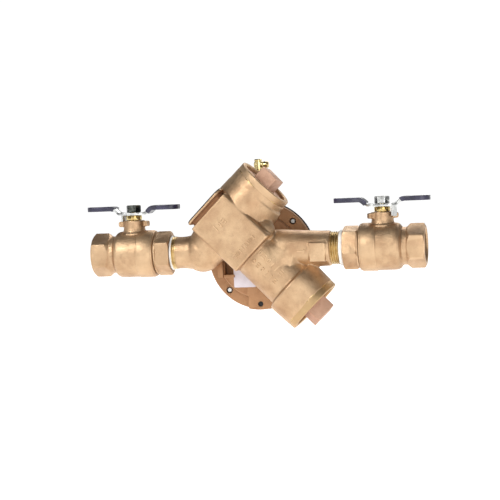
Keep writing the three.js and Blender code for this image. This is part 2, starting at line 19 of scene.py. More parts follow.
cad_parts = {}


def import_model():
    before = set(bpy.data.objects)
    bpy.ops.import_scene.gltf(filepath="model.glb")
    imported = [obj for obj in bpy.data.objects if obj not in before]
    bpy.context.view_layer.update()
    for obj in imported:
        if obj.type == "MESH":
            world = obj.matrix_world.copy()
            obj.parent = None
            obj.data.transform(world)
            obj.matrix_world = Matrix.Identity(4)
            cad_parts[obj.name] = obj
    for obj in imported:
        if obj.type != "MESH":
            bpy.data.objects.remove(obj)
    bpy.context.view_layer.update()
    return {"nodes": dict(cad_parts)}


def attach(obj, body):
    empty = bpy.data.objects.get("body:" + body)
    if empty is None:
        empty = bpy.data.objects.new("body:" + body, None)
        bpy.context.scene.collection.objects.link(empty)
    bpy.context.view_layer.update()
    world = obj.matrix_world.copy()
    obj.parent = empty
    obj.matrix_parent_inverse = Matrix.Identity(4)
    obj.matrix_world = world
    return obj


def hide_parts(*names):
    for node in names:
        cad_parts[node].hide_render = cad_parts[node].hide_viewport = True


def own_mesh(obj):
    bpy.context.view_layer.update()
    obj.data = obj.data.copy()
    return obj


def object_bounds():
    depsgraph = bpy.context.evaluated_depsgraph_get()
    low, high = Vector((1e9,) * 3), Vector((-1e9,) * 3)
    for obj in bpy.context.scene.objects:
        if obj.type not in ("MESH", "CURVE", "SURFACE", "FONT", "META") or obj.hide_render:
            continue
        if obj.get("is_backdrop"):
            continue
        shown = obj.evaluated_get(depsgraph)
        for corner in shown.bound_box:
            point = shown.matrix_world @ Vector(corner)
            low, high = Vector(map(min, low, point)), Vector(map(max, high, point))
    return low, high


LOG = logging.getLogger("backflow_preventer")
MM = 0.001
ROOT = "valve_assembly"
DETAILED = "_detailed"

Solid = bpy.types.Object
Socket = bpy.types.NodeSocket
Material = bpy.types.Material
Profile = Sequence[tuple[float, float]]
Place = Matrix
HERE = Matrix.Identity(4)


# ------------------------------------------------------------------------------ places
def along(origin: Sequence[float], z: Sequence[float], y: Sequence[float] = (0, -1, 0)) -> Place:
    """Return a frame with its own z along a direction.

    Args:
        origin: The frame's origin, in millimetres.
        z: Direction of the frame's z axis.
        y: Direction of the frame's y axis, square to z.

    Returns:
        The frame as a matrix, its translation in metres.
    """
    z_axis, y_axis = Vector(z).normalized(), Vector(y).normalized()
    x_axis = y_axis.cross(z_axis)
    columns = Matrix((x_axis, y_axis, z_axis)).transposed().to_4x4()
    return Matrix.Translation(Vector(origin) * MM) @ columns


def shifted(x: float = 0, y: float = 0, z: float = 0) -> Place:
    """Return a pure move, given in millimetres."""
    return Matrix.Translation(Vector((x, y, z)) * MM)


def spun(degrees: float, axis: str = "Z") -> Place:
    """Return a turn about one axis."""
    return Matrix.Rotation(math.radians(degrees), 4, axis)


@dataclass(frozen=True)
class Layout:
    """The places that all the sub-assemblies share, in millimetres."""

    length: float = 330.0
    valve: float = 78.5
    cross_x: float = 136.9
    cross_z: float = 26.6
    bulb: float = -37.65
    mouth_1: float = 55.5
    mouth_2: float = 117.4
    relief_x: float = 162.0
    relief_z: float = -6.9
    flange_y: float = 30.0
    flange_t: float = 9.0
    flange_r: float = 53.3
    bolt_circle: float = 47.3
    gasket: float = 2.6
    stem: float = 41.2
    bore: float = 12.7
    tap: float = 4.3
    cock_1: float = 47.2
    cock_2: float = 104.0
    cock_3: tuple[float, float] = (162.3, 32.5)
    cock_4: float = 226.0

    @property
    def pipe(self) -> Place:
        """The pipe's frame, z along the flow."""
        return along((0, 0, 0), (1, 0, 0))

    @property
    def barrel_1(self) -> Place:
        """The first check's frame, from the crossing of the two axes, rising to the right."""
        return along((self.cross_x, 0, self.cross_z), (1, 0, 1))

    @property
    def barrel_2(self) -> Place:
        """The second check's frame, from the crossing of the two axes, falling to the right."""
        return along((self.cross_x, 0, self.cross_z), (1, 0, -1))

    @property
    def relief(self) -> Place:
        """The relief valve's frame, z pointing backwards."""
        return self.backward(self.relief_x, self.relief_z)

    @property
    def flange_back(self) -> float:
        """The back face of the relief flange."""
        return self.flange_y + self.flange_t

    @property
    def bolts(self) -> list[Place]:
        """The frames of the eight cover bolts, z pointing backwards."""
        turns = [math.radians(45 * index) for index in range(8)]
        return [self.backward(self.relief_x + self.bolt_circle * math.cos(turn),
                              self.relief_z + self.bolt_circle * math.sin(turn))
                for turn in turns]

    def backward(self, x: float, z: float) -> Place:
        """Return a frame at a place on the middle plane, its z pointing backwards."""
        return along((x, 0, z), (0, 1, 0), (0, 0, -1))


LAYOUT = Layout()


# ------------------------------------------------------------------------------ bench work
class Solver(Enum):
    """How two solids are joined or cut."""

    CUT = "DIFFERENCE"
    JOIN = "UNION"
    KEEP_COMMON = "INTERSECT"


def pick(*objects: Solid) -> Solid:
    """Select only these objects, make the first one active and return it."""
    bpy.ops.object.select_all(action="DESELECT")
    for obj in objects:
        obj.select_set(True)
    bpy.context.view_layer.objects.active = objects[0]
    return objects[0]


def added(name: str) -> Solid:
    """Name the object that was just added, put its place into its mesh and return it."""
    obj = bpy.context.object
    obj.name = obj.data.name = name
    bpy.ops.object.transform_apply(location=True, rotation=True, scale=True)
    return obj


def settle(obj: Solid, place: Place) -> Solid:
    """Move an object by a frame and put that place into its mesh."""
    pick(obj)
    obj.matrix_world = place @ obj.matrix_world
    bpy.ops.object.transform_apply(location=True, rotation=True, scale=True)
    return obj


def apply_modifier(obj: Solid, kind: str, **settings: object) -> None:
    """Add one modifier with these settings and apply it."""
    pick(obj)
    modifier = obj.modifiers.new(kind.lower(), kind)
    for key, value in settings.items():
        setattr(modifier, key, value)
    bpy.ops.object.modifier_apply(modifier=modifier.name)


def in_edit_mode(obj: Solid, work: Callable[[], None]) -> None:
    """Run some edit-mode operators on one object, with all of it selected."""
    pick(obj)
    bpy.ops.object.mode_set(mode="EDIT")
    bpy.ops.mesh.select_all(action="SELECT")
    work()
    bpy.ops.object.mode_set(mode="OBJECT")


def mend(obj: Solid, merge: float = 0.001) -> None:
    """Merge doubled corners, given in millimetres, and turn all faces outwards."""

    def work() -> None:
        bpy.ops.mesh.remove_doubles(threshold=merge * MM)
        bpy.ops.mesh.normals_make_consistent(inside=False)

    in_edit_mode(obj, work)


def turned(name: str, profile: Profile, place: Place = HERE, segments: int = 96,
           ) -> Solid:
    """Turn a profile about the z axis of a frame by extruding a circle step by step.

    Args:
        name: The new object's name.
        profile: Points of (radius, height) in millimetres. It starts and ends on the axis, or
            closes on itself.
        place: The frame to turn it in.
        segments: Sides of the circle.

    Returns:
        The new object, its place in its mesh.
    """
    capped = profile[0][0] == 0
    rings = [point for point in profile if point[0] > 0]
    if not capped:
        rings.append(rings[0])
    (radius, height), rest = rings[0], rings[1:]
    bpy.ops.object.select_all(action="DESELECT")
    bpy.ops.mesh.primitive_circle_add(
        vertices=segments, radius=radius * MM, fill_type="NGON" if capped else "NOTHING",
        location=(0, 0, height * MM),
    )
    obj = added(name)
    bpy.ops.object.mode_set(mode="EDIT")
    bpy.ops.mesh.select_mode(type="FACE" if capped else "EDGE")
    bpy.ops.mesh.select_all(action="SELECT")
    for next_radius, next_height in rest:
        step = (0, 0, (next_height - height) * MM)
        bpy.ops.mesh.extrude_region_move(TRANSFORM_OT_translate={"value": step})
        ratio = next_radius / radius
        bpy.ops.transform.resize(
            value=(ratio, ratio, 1), center_override=(0, 0, next_height * MM)
        )
        radius, height = next_radius, next_height
    bpy.ops.mesh.select_mode(type="VERT")
    bpy.ops.object.mode_set(mode="OBJECT")
    mend(obj)
    return settle(obj, place)


def rod(name: str, radius: float, low: float, high: float, place: Place = HERE,
        segments: int = 64) -> Solid:
    """Turn a plain round bar."""
    profile = [(0, low), (radius, low), (radius, high), (0, high)]
    return turned(name, profile, place, segments)


def slab(name: str, low: Sequence[float], high: Sequence[float], place: Place = HERE,
         radius: float = 0, axis: int = 2, segments: int = 8) -> Solid:
    """Make a block whose edges along one axis are rounded.

    Args:
        name: The new object's name.
        low: Its lowest corner, in millimetres.
        high: Its highest corner.
        place: The frame that it stands in.
        radius: Radius of the four rounded edges; none when it is zero.
        axis: The axis that the rounded edges run along.
        segments: Steps in each rounded edge.

    Returns:
        The new object, its place in its mesh.
    """
    centre = [(a + b) / 2 * MM for a, b in zip(low, high)]
    size = [(b - a) * MM for a, b in zip(low, high)]
    bpy.ops.object.select_all(action="DESELECT")
    bpy.ops.mesh.primitive_cube_add(size=1, location=centre, scale=size)
    obj = added(name)
    if radius:
        pick(obj)
        bpy.ops.object.mode_set(mode="EDIT")
        bpy.ops.mesh.select_mode(type="EDGE")
        bpy.ops.mesh.select_all(action="DESELECT")
        bpy.ops.object.mode_set(mode="OBJECT")
        for edge in obj.data.edges:
            ends = [obj.data.vertices[i].co for i in edge.vertices]
            edge.select = abs((ends[0] - ends[1])[axis]) > 1e-6
        bpy.ops.object.mode_set(mode="EDIT")
        bpy.ops.mesh.bevel(offset=radius * MM, segments=segments, profile=0.5)
        bpy.ops.mesh.select_mode(type="VERT")
        bpy.ops.object.mode_set(mode="OBJECT")
    return settle(obj, place)


def combine(target: Solid, tool: Solid, how: Solver) -> Solid:
    """Join or cut a closed solid with another, and remove the tool."""
    apply_modifier(target, "BOOLEAN", object=tool, operation=how.value, solver="MANIFOLD")
    bpy.data.objects.remove(tool)
    return target


def carve(target: Solid, *tools: Solid) -> Solid:
    """Cut a solid with each of these tools."""
    for tool in tools:
        combine(target, tool, Solver.CUT)
    return target


def drill_bolt_holes(target: Solid, radius: float, low: float, high: float,
                     segments: int = 32) -> None:
    """Cut the holes for the eight cover bolts."""
    for place in LAYOUT.bolts:
        carve(target, rod("hole", radius, low, high, place, segments))


def welded(name: str, parts: Sequence[Solid]) -> Solid:
    """Put several closed solids into one object, still overlapping."""
    pick(*parts)
    bpy.ops.object.join()
    parts[0].name = parts[0].data.name = name
    return parts[0]


def cast(obj: Solid, voxel: float, rounds: int) -> Solid:
    """Melt overlapping solids into one skin with cast fillets.

    Args:
        obj: The overlapping closed solids.
        voxel: Grain of the new skin, in millimetres.
        rounds: Smoothing rounds, which set how round the fillets are.

    Returns:
        The same object.
    """
    apply_modifier(obj, "REMESH", mode="VOXEL", voxel_size=voxel * MM)
    apply_modifier(obj, "SMOOTH", factor=0.5, iterations=rounds)
    return obj


def ball(radius: float, steps: int) -> Profile:
    """Return the profile of a ball, from its lowest point to its highest."""
    angles = [math.pi * i / steps for i in range(1, steps)]
    arc = [(radius * math.sin(a), -radius * math.cos(a)) for a in angles]
    return [(0, -radius), *arc, (0, radius)]


def ridges(root: float, crest: float, low: float, high: float, pitch: float = 1,
           rise: float = 0.5) -> Profile:
    """Return the zigzag profile of a thread.

    Args:
        root: Radius between the ridges, in millimetres.
        crest: Radius on the ridges.
        low: Height of the first root.
        high: Height that no root reaches.
        pitch: Spacing of the ridges.
        rise: Height from a root to its crest.

    Returns:
        The points of the zigzag.
    """
    points = []
    while low < high:
        points += [(root, low), (crest, low + rise)]
        low += pitch
    return points


def corner_radius(across: float) -> float:
    """Return the radius to the corners of a hexagon, given its width across the flats."""
    return across / 2 / math.cos(math.pi / 6)


def hexagonal(name: str, across: float, low: float, high: float, chamfer: float,
              place: Place = HERE, turn: float = 0) -> Solid:
    """Make a six-sided bar with the corners turned off at both ends.

    Args:
        name: The new object's name.
        across: Width across the flats, in millimetres.
        low: Height of its lower end.
        high: Height of its upper end.
        chamfer: How far the corners are turned off.
        place: The frame that it stands in.
        turn: Turn about its axis, in degrees.

    Returns:
        The new object, its place in its mesh.
    """
    corner = corner_radius(across)
    blank = rod(name, corner, low, high, spun(turn), 6)
    near = corner - chamfer
    slope = chamfer * 0.62
    cone = turned(name + "_cone", [
        (0, low), (near, low), (corner * 0.995, low + slope), (corner * 0.995, high - slope),
        (near, high), (0, high),
    ])
    combine(blank, cone, Solver.KEEP_COMMON)
    return settle(blank, place)


def soften(obj: Solid, width: float, segments: int = 2, angle: float = 30) -> None:
    """Round the sharp edges of a made piece and shade it smooth."""
    apply_modifier(obj, "BEVEL", width=width * MM, segments=segments, limit_method="ANGLE",
                   angle_limit=math.radians(angle))
    shade(obj, angle)


def shade(obj: Solid, angle: float = 35) -> None:
    """Shade a piece smooth except across edges sharper than an angle."""
    pick(obj)
    bpy.ops.object.shade_smooth_by_angle(angle=math.radians(angle))


# ------------------------------------------------------------------------------ finishes
class Web:
    """A material's node tree, with short ways to add to it."""

    def __init__(self, name: str) -> None:
        """Start a material with one Principled shader."""
        self.material = bpy.data.materials.new(name)
        self.material.use_nodes = True
        self.tree = self.material.node_tree
        self.shader = self.tree.nodes["Principled BSDF"]
        self.coordinates = self.tree.nodes.new("ShaderNodeTexCoord").outputs["Object"]

    def link(self, source: Socket, target: Socket) -> None:
        """Join two sockets."""
        self.tree.links.new(source, target)

    def noise(self, scale: float, detail: float = 4, roughness: float = 0.55,
              stretch: Sequence[float] = (1, 1, 1)) -> Socket:
        """Return grey noise on object coordinates; scale is in cells per metre."""
        mapping = self.tree.nodes.new("ShaderNodeMapping")
        mapping.inputs["Scale"].default_value = stretch
        self.link(self.coordinates, mapping.inputs["Vector"])
        node = self.tree.nodes.new("ShaderNodeTexNoise")
        node.inputs["Scale"].default_value = scale
        node.inputs["Detail"].default_value = detail
        node.inputs["Roughness"].default_value = roughness
        self.link(mapping.outputs["Vector"], node.inputs["Vector"])
        return node.outputs["Fac"]

    def cells(self, scale: float) -> Socket:
        """Return the distance to the nearest point of a random scatter."""
        node = self.tree.nodes.new("ShaderNodeTexVoronoi")
        node.inputs["Scale"].default_value = scale
        self.link(self.coordinates, node.inputs["Vector"])
        return node.outputs["Distance"]

    def edges(self) -> Socket:
        """Return how convex the surface is: 0.5 flat, more on edges, less in corners."""
        return self.tree.nodes.new("ShaderNodeNewGeometry").outputs["Pointiness"]

    def spread(self, source: Socket, low: float, high: float,
               to_low: float = 0, to_high: float = 1) -> Socket:
        """Return a value stretched from one range to another and held inside it."""
        node = self.tree.nodes.new("ShaderNodeMapRange")
        for socket, value in zip(("From Min", "From Max", "To Min", "To Max"),
                                 (low, high, to_low, to_high)):
            node.inputs[socket].default_value = value
        self.link(source, node.inputs["Value"])
        return node.outputs["Result"]

    def mix(self, factor: Socket, first: object, second: object,
            ) -> Socket:
        """Return a blend of two colours, each a tuple or a socket."""
        node = self.tree.nodes.new("ShaderNodeMix")
        node.data_type = "RGBA"
        self.link(factor, node.inputs["Factor"])
        for socket, value in ((node.inputs[6], first), (node.inputs[7], second)):
            if isinstance(value, tuple):
                socket.default_value = (*value, 1)
            else:
                self.link(value, socket)
        return node.outputs[2]

    def bump(self, height: Socket, depth: float, strength: float = 1,
             under: Socket | None = None) -> Socket:
        """Return a bumped normal; depth is in millimetres and another bump may lie under it."""
        node = self.tree.nodes.new("ShaderNodeBump")
        node.inputs["Strength"].default_value = strength
        node.inputs["Distance"].default_value = depth * MM
        self.link(height, node.inputs["Height"])
        if under is not None:
            self.link(under, node.inputs["Normal"])
        return node.outputs["Normal"]

    def put(self, socket: str, value: object) -> None:
        """Set one socket of the shader, or feed it."""
        target = self.shader.inputs[socket]
        if isinstance(value, Socket):
            self.link(value, target)
        elif isinstance(value, tuple):
            target.default_value = (*value, 1)
        else:
            target.default_value = value


def srgb(code: str) -> tuple[float, float, float]:
    """Return a hexadecimal screen colour as linear light."""
    values = [int(code[i:i + 2], 16) / 255 for i in (0, 2, 4)]
    linear = [v / 12.92 if v <= 0.04045 else ((v + 0.055) / 1.055) ** 2.4 for v in values]
    return linear[0], linear[1], linear[2]


@dataclass(frozen=True)
class CastMetal:
    """Sand-cast and tumbled metal: blotched, grainy, worn bright along its edges."""

    name: str
    light: str
    middle: str
    dark: str
    metallic: float = 0.9
    roughness: tuple[float, float] = (0.36, 0.52)
    grain: float = 0.10
    slot: str = "cast_bronze"

    def build(self) -> Material:
        """Return the material."""
        web = Web(self.name)
        blotch = web.spread(web.noise(46, 5), 0.34, 0.66)
        tone = web.mix(blotch, srgb(self.middle), srgb(self.light))
        stain = web.spread(web.noise(170, 6, 0.7), 0.52, 0.78, 0, 0.3)
        tone = web.mix(stain, tone, srgb(self.dark))
        speck = web.spread(web.noise(1100, 5, 0.7), 0.54, 0.76, 0, 0.3)
        tone = web.mix(speck, tone, srgb(self.dark))
        # painted shade: darker in crevices and hollows, where shade falls
        painted_crevice_shade = web.spread(web.edges(), 0.40, 0.49, 0.9, 0)
        tone = web.mix(painted_crevice_shade, tone, srgb(self.dark))
        worn = web.spread(web.edges(), 0.51, 0.58, 0, 0.8)
        tone = web.mix(worn, tone, srgb(self.light))
        web.put("Base Color", tone)
        web.put("Metallic", self.metallic)
        web.put("Roughness", web.spread(web.noise(260, 4), 0.3, 0.7, *self.roughness))
        coarse = web.bump(web.noise(420, 5, 0.65), self.grain * 4, 0.6)
        fine = web.bump(web.noise(1300, 4, 0.65), self.grain * 2, 0.8, coarse)
        pits = web.bump(web.spread(web.cells(260), 0.0, 0.16), self.grain, 0.25, fine)
        web.put("Normal", pits)
        return web.material


@dataclass(frozen=True)
class TurnedMetal:
    """Machined metal with fine tool marks round its axis."""

    name: str
    light: str
    dark: str
    roughness: tuple[float, float] = (0.16, 0.30)
    marks: float = 0.02
    slot: str = "brass"
    stretch: tuple[float, float, float] = (1, 0.06, 0.06)

    def build(self) -> Material:
        """Return the material."""
        web = Web(self.name)
        streak = web.noise(2600, 2, 0.5, self.stretch)
        cloud = web.spread(web.noise(90, 4), 0.38, 0.66)
        tone = web.mix(cloud, srgb(self.light), srgb(self.dark))
        # painted shade: darker in crevices and hollows, where shade falls
        painted_crevice_shade = web.spread(web.edges(), 0.38, 0.48, 0.7, 0)
        web.put("Base Color", web.mix(painted_crevice_shade, tone, srgb(self.dark)))
        web.put("Metallic", 1.0)
        web.put("Roughness", web.spread(streak, 0.3, 0.7, *self.roughness))
        web.put("Normal", web.bump(streak, self.marks, 0.6, web.bump(web.noise(500), 0.03, 0.3)))
        return web.material


@dataclass(frozen=True)
class PlatedSteel:
    """Zinc-plated sheet or bar: cool, slightly cloudy, with faint handling marks."""

    name: str
    light: str = "d6d8d8"
    dark: str = "8f9194"
    roughness: tuple[float, float] = (0.2, 0.42)
    slot: str = "zinc_plated_steel"

    def build(self) -> Material:
        """Return the material."""
        web = Web(self.name)
        cloud = web.spread(web.noise(130, 6, 0.65), 0.35, 0.68)
        tone = web.mix(cloud, srgb(self.light), srgb(self.dark))
        spot = web.spread(web.noise(700, 3), 0.60, 0.72, 0, 0.5)
        web.put("Base Color", web.mix(spot, tone, srgb("77705f")))
        web.put("Metallic", 1.0)
        web.put("Roughness", web.spread(web.noise(420, 5), 0.3, 0.7, *self.roughness))
        web.put("Normal", web.bump(web.noise(900, 4), 0.05, 0.35))
        return web.material


@dataclass(frozen=True)
class Polymer:
    """Vinyl, rubber, plastic or PTFE with a soft sheen and fine surface texture."""

    name: str
    light: str
    dark: str
    roughness: tuple[float, float] = (0.4, 0.55)
    texture: float = 0.04
    coat: float = 0.0
    slot: str = "rubber"
    fleck: float = 380

    def build(self) -> Material:
        """Return the material."""
        web = Web(self.name)
        cloud = web.spread(web.noise(self.fleck * 0.3, 5), 0.35, 0.68)
        tone = web.mix(cloud, srgb(self.dark), srgb(self.light))
        worn = web.spread(web.edges(), 0.52, 0.62, 0, 0.5)
        web.put("Base Color", web.mix(worn, tone, srgb(self.light)))
        web.put("Roughness", web.spread(web.noise(self.fleck, 4), 0.3, 0.7, *self.roughness))
        web.put("Coat Weight", self.coat)
        web.put("Coat Roughness", 0.3)
        web.put("Normal", web.bump(web.noise(self.fleck * 4, 3), self.texture, 0.5))
        return web.material


class Finish(Enum):
    """The finishes that the pieces are dressed in."""

    BODY = CastMetal("tumbled_bronze", "cfb08c", "b08e6d", "6e503a")
    # darker bronze for the groove at the block's end: partly its rust colour, partly painted shade
    # in the groove
    GROOVE = CastMetal("raw_bronze", "8a6244", "74492c", "3e2415", 0.7, (0.5, 0.65))
    # a darker, redder bronze for the relief hub and flange, which sit set back under the second
    # barrel
    RUSTY = CastMetal("weathered_bronze", "b08763", "94694a", "5a3a26", 0.7, (0.5, 0.65))
    CAP = CastMetal("pink_bronze", "c9a48c", "b0886f", "6c4b38", 0.75, (0.48, 0.62), 0.16)
    BAND = CastMetal("machined_bronze", "c4a57a", "a2835c", "745638", 0.88, (0.38, 0.52), 0.05)
    THREAD = TurnedMetal("cut_bronze", "d6be8c", "a3875a", (0.26, 0.4), 0.03, "cast_bronze")
    BRASS = TurnedMetal("bright_brass", "e2d19a", "b59a62", (0.16, 0.3), 0.015)
    CHROME = TurnedMetal("polished_chrome", "e4e4e6", "c4c4c8", (0.05, 0.1), 0.004, "chrome")
    ZINC = PlatedSteel("zinc_plate", "dedfdc", "9fa09f")
    # darker copy of the zinc plate for the inlet handle's nut: painted shade
    DARK_ZINC = PlatedSteel("dulled_zinc", "80847e", "262925", (0.16, 0.34))
    WIRE = PlatedSteel("spring_wire", "b9b8b4", "82817c", slot="spring_steel")
    RUBBER = Polymer("black_rubber", "1d1d1f", "0b0b0c", (0.5, 0.7))
    VINYL = Polymer("dipped_vinyl", "34314c", "1d1b2c", (0.3, 0.42), 0.03, 0.2, "vinyl")
    TAPE = Polymer("thread_tape", "f6f5f1", "dcdad4", (0.42, 0.6), 0.05, slot="ptfe")
    PLASTIC = Polymer("dark_acetal", "3c444a", "23292d", slot="moulded_plastic")
    LABEL = Polymer("blank_label", "dfd9e0", "cfc9d2", (0.35, 0.5), 0.01, slot="label")

    @property
    def material(self) -> Material:
        """The finish's material, made when it is first asked for."""
        found = bpy.data.materials.get(self.value.name)
        return found or self.value.build()


def dress(obj: Solid, finish: Finish) -> None:
    """Give an object one finish in place of all its materials."""
    obj.data.materials.clear()
    obj.data.materials.append(finish.material)


def fit(obj: Solid, finish: Finish, body: str = ROOT, replaces: str = "") -> None:
    """Dress a finished piece and hang it on the frame.

    Args:
        obj: The finished piece. One named after a node with DETAILED added stands for that node.
        finish: Its finish.
        body: The body that it moves with.
        replaces: The CAD node that it stands for, when its name doesn't say.
    """
    dress(obj, finish)
    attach(obj, body)
    if obj.name.endswith(DETAILED):
        replaces = obj.name.removesuffix(DETAILED)
    if replaces:
        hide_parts(replaces)
    LOG.info("%s: %d faces, %s", obj.name, len(obj.data.polygons), finish.value.name)


# ------------------------------------------------------------------------------ body casting
@dataclass
class BodyCasting:
    """The bronze casting: two barrels at right angles on one pipe line, and the relief hub."""

    layout: Layout = LAYOUT
    barrel_r: float = 29.3
    mouth_2_r: float = 29.5
    mouth_bore: float = 24.8
    band: float = 6.8
    block_left: float = -23.8
    block_right: float = 25.0
    block_front: float = 32.0
    block_low: float = -25.7
    block_high: float = 40.4
    hub_front: float = 19.0
    hub_r: float = 41.0
    thread_r: float = 16.2
    thread_root: float = 15.1
    bulb_r: float = 19.8
    hollow_r: float = 15.2
    cock_base: float = 25.0
    spout: tuple[float, float, float, float] = (150.0, 173.0, 31.0, -61.0)
    skin: float = 0.85
    # places of the painted highlight arcs: turn, spread and drop from the mouth
    witness: tuple[tuple[float, float, float], ...] = ((48, 6, 7.0), (-14, 8, 7.4), (-52, 4, 6.8))

    def build(self) -> None:
        """Build the casting with its machined ends."""
        self.skin_piece()
        self.block_end()
        self.hub()
        self.flange()
        self.mouth(1, self.layout.barrel_1, self.layout.mouth_1, self.barrel_r)
        self.mouth(2, self.layout.barrel_2, self.layout.mouth_2, self.mouth_2_r)
        self.threads("inlet", 78.0, 85.2)
        self.threads("outlet", 238.0, 251.8)
        CastMarks().build()

    def skin_piece(self) -> None:
        """Melt the rough shapes into one cast skin and bore it out."""
        parts = [*self.pipe_line(), *self.barrels(), *self.bosses()]
        body = cast(welded("cast_body", parts), self.skin, 3)
        apply_modifier(body, "DECIMATE", ratio=0.62)
        carve(body, *self.bores())
        shade(body, 50)
        fit(body, Finish.BODY, replaces="body_casting")

    def pipe_line(self) -> list[Solid]:
        """Return the inlet neck, its bulb and the outlet neck."""
        pipe, end = self.layout.pipe, self.layout.length - self.layout.valve
        inlet = turned("inlet_neck", [
            (0, 66), (15, 66), (15, 83.4), (15.6, 84.2), (15.7, 93), (17, 102), (18, 107),
            (0, 107),
        ], pipe)
        bulb_x = self.layout.cross_x + self.layout.bulb * math.sqrt(0.5)
        bulb = turned("inlet_bulb", ball(self.bulb_r, 16), pipe @ shifted(z=bulb_x))
        outlet = turned("outlet_neck", [
            (0, 158), (19.9, 158), (19.7, 190), (18.2, 212), (17.4, 226), (17.1, 237.4),
            (15, 238.6), (15, end + 12), (0, end + 12),
        ], pipe)
        flat = slab("wrench_flat", (219, -18.3, -12), (234.5, -8, 6.2))
        return [inlet, bulb, outlet, flat]

    def barrels(self) -> list[Solid]:
        """Return both barrels and the broad block where they cross."""
        first = turned("barrel_first", [
            (0, -34), (19.6, -34), (20.8, -29), (22.4, -24), (self.barrel_r, -13),
            (self.barrel_r, self.layout.mouth_1 - 6.6),
            (self.barrel_r - 4, self.layout.mouth_1 - 6), (0, self.layout.mouth_1 - 6),
        ], self.layout.barrel_1)
        flare = turned("barrel_flare", [
            (0, 14), (31.4, 17), (31.0, 34), (29.6, 42), (0, 42),
        ], self.layout.barrel_1 @ shifted(x=-1.4))
        second = turned("barrel_second", [
            (0, 0), (25.4, 0), (25.6, 60), (26, 84.4), (26.4, 85.2), (29.6, 86.2),
            (30.4, 87.6), (30.4, 92), (29.9, 104), (29.6, self.layout.mouth_2 - 6.4),
            (25.4, self.layout.mouth_2 - 6), (0, self.layout.mouth_2 - 6),
        ], self.layout.barrel_2)
        front = self.block_front
        block = slab("crossing_block", (self.block_left, -front, self.block_low + 6.6),
                     (self.block_right, front, self.block_high), self.layout.barrel_2, 4.5, 2, 6)
        webs = []
        for turn, radius, length, rise in ((9, 20.6, 46, 3.0), (18, 21.9, 45, 5.8),
                                           (27, 23.1, 46, 8.5), (36, 24.2, 48, 11.0)):
            a = math.radians(turn)
            webs.append(turned("web", [
                (0, 0), (radius, 0), (radius, length), (radius * 0.9, length + radius * 0.42),
                (radius * 0.6, length + radius * 0.75), (0, length + radius * 0.9),
            ], along((150, 0, rise), (math.cos(a), 0, -math.sin(a)))))
        webs.append(turned("shoulder", ball(13, 12),
                           self.layout.barrel_2 @ shifted(20, 12, 30), 48))
        return [first, flare, second, block, *webs]

    def block_plate(self, name: str, inset: float, low: float, high: float, radius: float,
                    segments: int) -> Solid:
        """Return a plate across the block's upper end.

        Args:
            name: The new object's name.
            inset: How much smaller than the block it is, all round, in millimetres.
            low: Its outer face, from the block's end.
            high: Its inner face, from the block's end.
            radius: Radius of its corners.
            segments: Steps in each corner.

        Returns:
            The new object, its place in its mesh.
        """
        left, right = self.block_left + inset, self.block_right - inset
        front, end = self.block_front - inset, self.block_low
        return slab(name, (left, -front, end + low), (right, front, end + high),
                    self.layout.barrel_2, radius, 2, segments)

    def block_end(self) -> None:
        """Make the crisp lip at the block's upper end and, behind it, a thin black sheet that is
        painted dark reflection along the lip's end.
        """
        lip = self.block_plate("block_lip", 0.9, 0, 2, 7.6, 10)
        soften(lip, 0.55, 3)
        fit(lip, Finish.BODY)
        # groove plate in a darker bronze: rust colour plus painted shade
        groove = self.block_plate("block_groove", 3.4, 1, 9, 7, 8)
        carve(groove, rod("mid", 22, self.block_low - 3, self.block_low + 12,
                          self.layout.barrel_2))
        shade(groove, 35)
        fit(groove, Finish.GROOVE)
        # painted dark reflection: a black sheet standing in for the dark line reflected along the
        # lip's end
        dark_sheet = self.block_plate("block_seal", 1.4, -0.9, 0.2, 7.2, 10)
        soften(dark_sheet, 0.2, 1)
        fit(dark_sheet, Finish.RUBBER)

    def hub(self) -> None:
        """Turn the relief hub and add its spout, rib and pocket."""
        layout, back = self.layout, self.layout.flange_back
        sight_place = layout.backward(layout.relief_x, layout.relief_z - layout.bolt_circle)
        walls = [
            rod("wall_first", 27, -30, layout.mouth_1 - 8, layout.barrel_1),
            rod("wall_second", 24, -20, layout.mouth_2 - 8, layout.barrel_2),
        ]
        hub = turned("relief_hub", [
            (0, self.hub_front), (self.hub_r - 0.8, self.hub_front),
            (self.hub_r, self.hub_front + 0.8), (self.hub_r, back - 2), (0, back - 2),
        ], layout.relief, 128)
        left, right, rear, low = self.spout
        spout = slab("spout", (left, self.hub_front, low), (right, rear, -25))
        trim = turned("trim", [
            (layout.flange_r - 0.3, 0), (layout.flange_r + 40, 0), (layout.flange_r + 40, 60),
            (layout.flange_r - 0.3, 60),
        ], layout.relief, 128)
        carve(spout, trim)
        rib = slab("rib", (121, 12.5, -27), (126.2, 31, -8))
        ledge = slab("ledge", (124, 16.5, -27), (137, 31, -24.4))
        for addition in (spout, rib, ledge):
            combine(hub, addition, Solver.JOIN)
        carve(hub, slab("pocket", (126.8, 9, -24), (135.2, 28, -6)), *walls)
        throat = slab("throat", (left + 3, self.hub_front + 2.6, low - 3), (right - 3, 27.5, -22),
                      radius=1.5)
        sight = rod("sight", 2.7, self.hub_front - 2, self.hub_front + 4, sight_place, 40)
        room = rod("room", 34, layout.flange_y + 1.3, 45, layout.relief)
        port = rod("port", 12.3, 22, 34, layout.relief)
        cavity = rod("cavity", 30, 22.5, layout.flange_y - 1.5, layout.relief)
        carve(hub, throat, sight, room, port, cavity)
        soften(hub, 0.35, 2)
        fit(hub, Finish.RUSTY)
        # painted shadow: a black disc inside the sight hole stands in for the hole's dark depth
        shadow_disc = rod("spout_plug", 2.6, self.hub_front + 1.6, self.hub_front + 4, sight_place, 40)
        fit(shadow_disc, Finish.RUBBER)

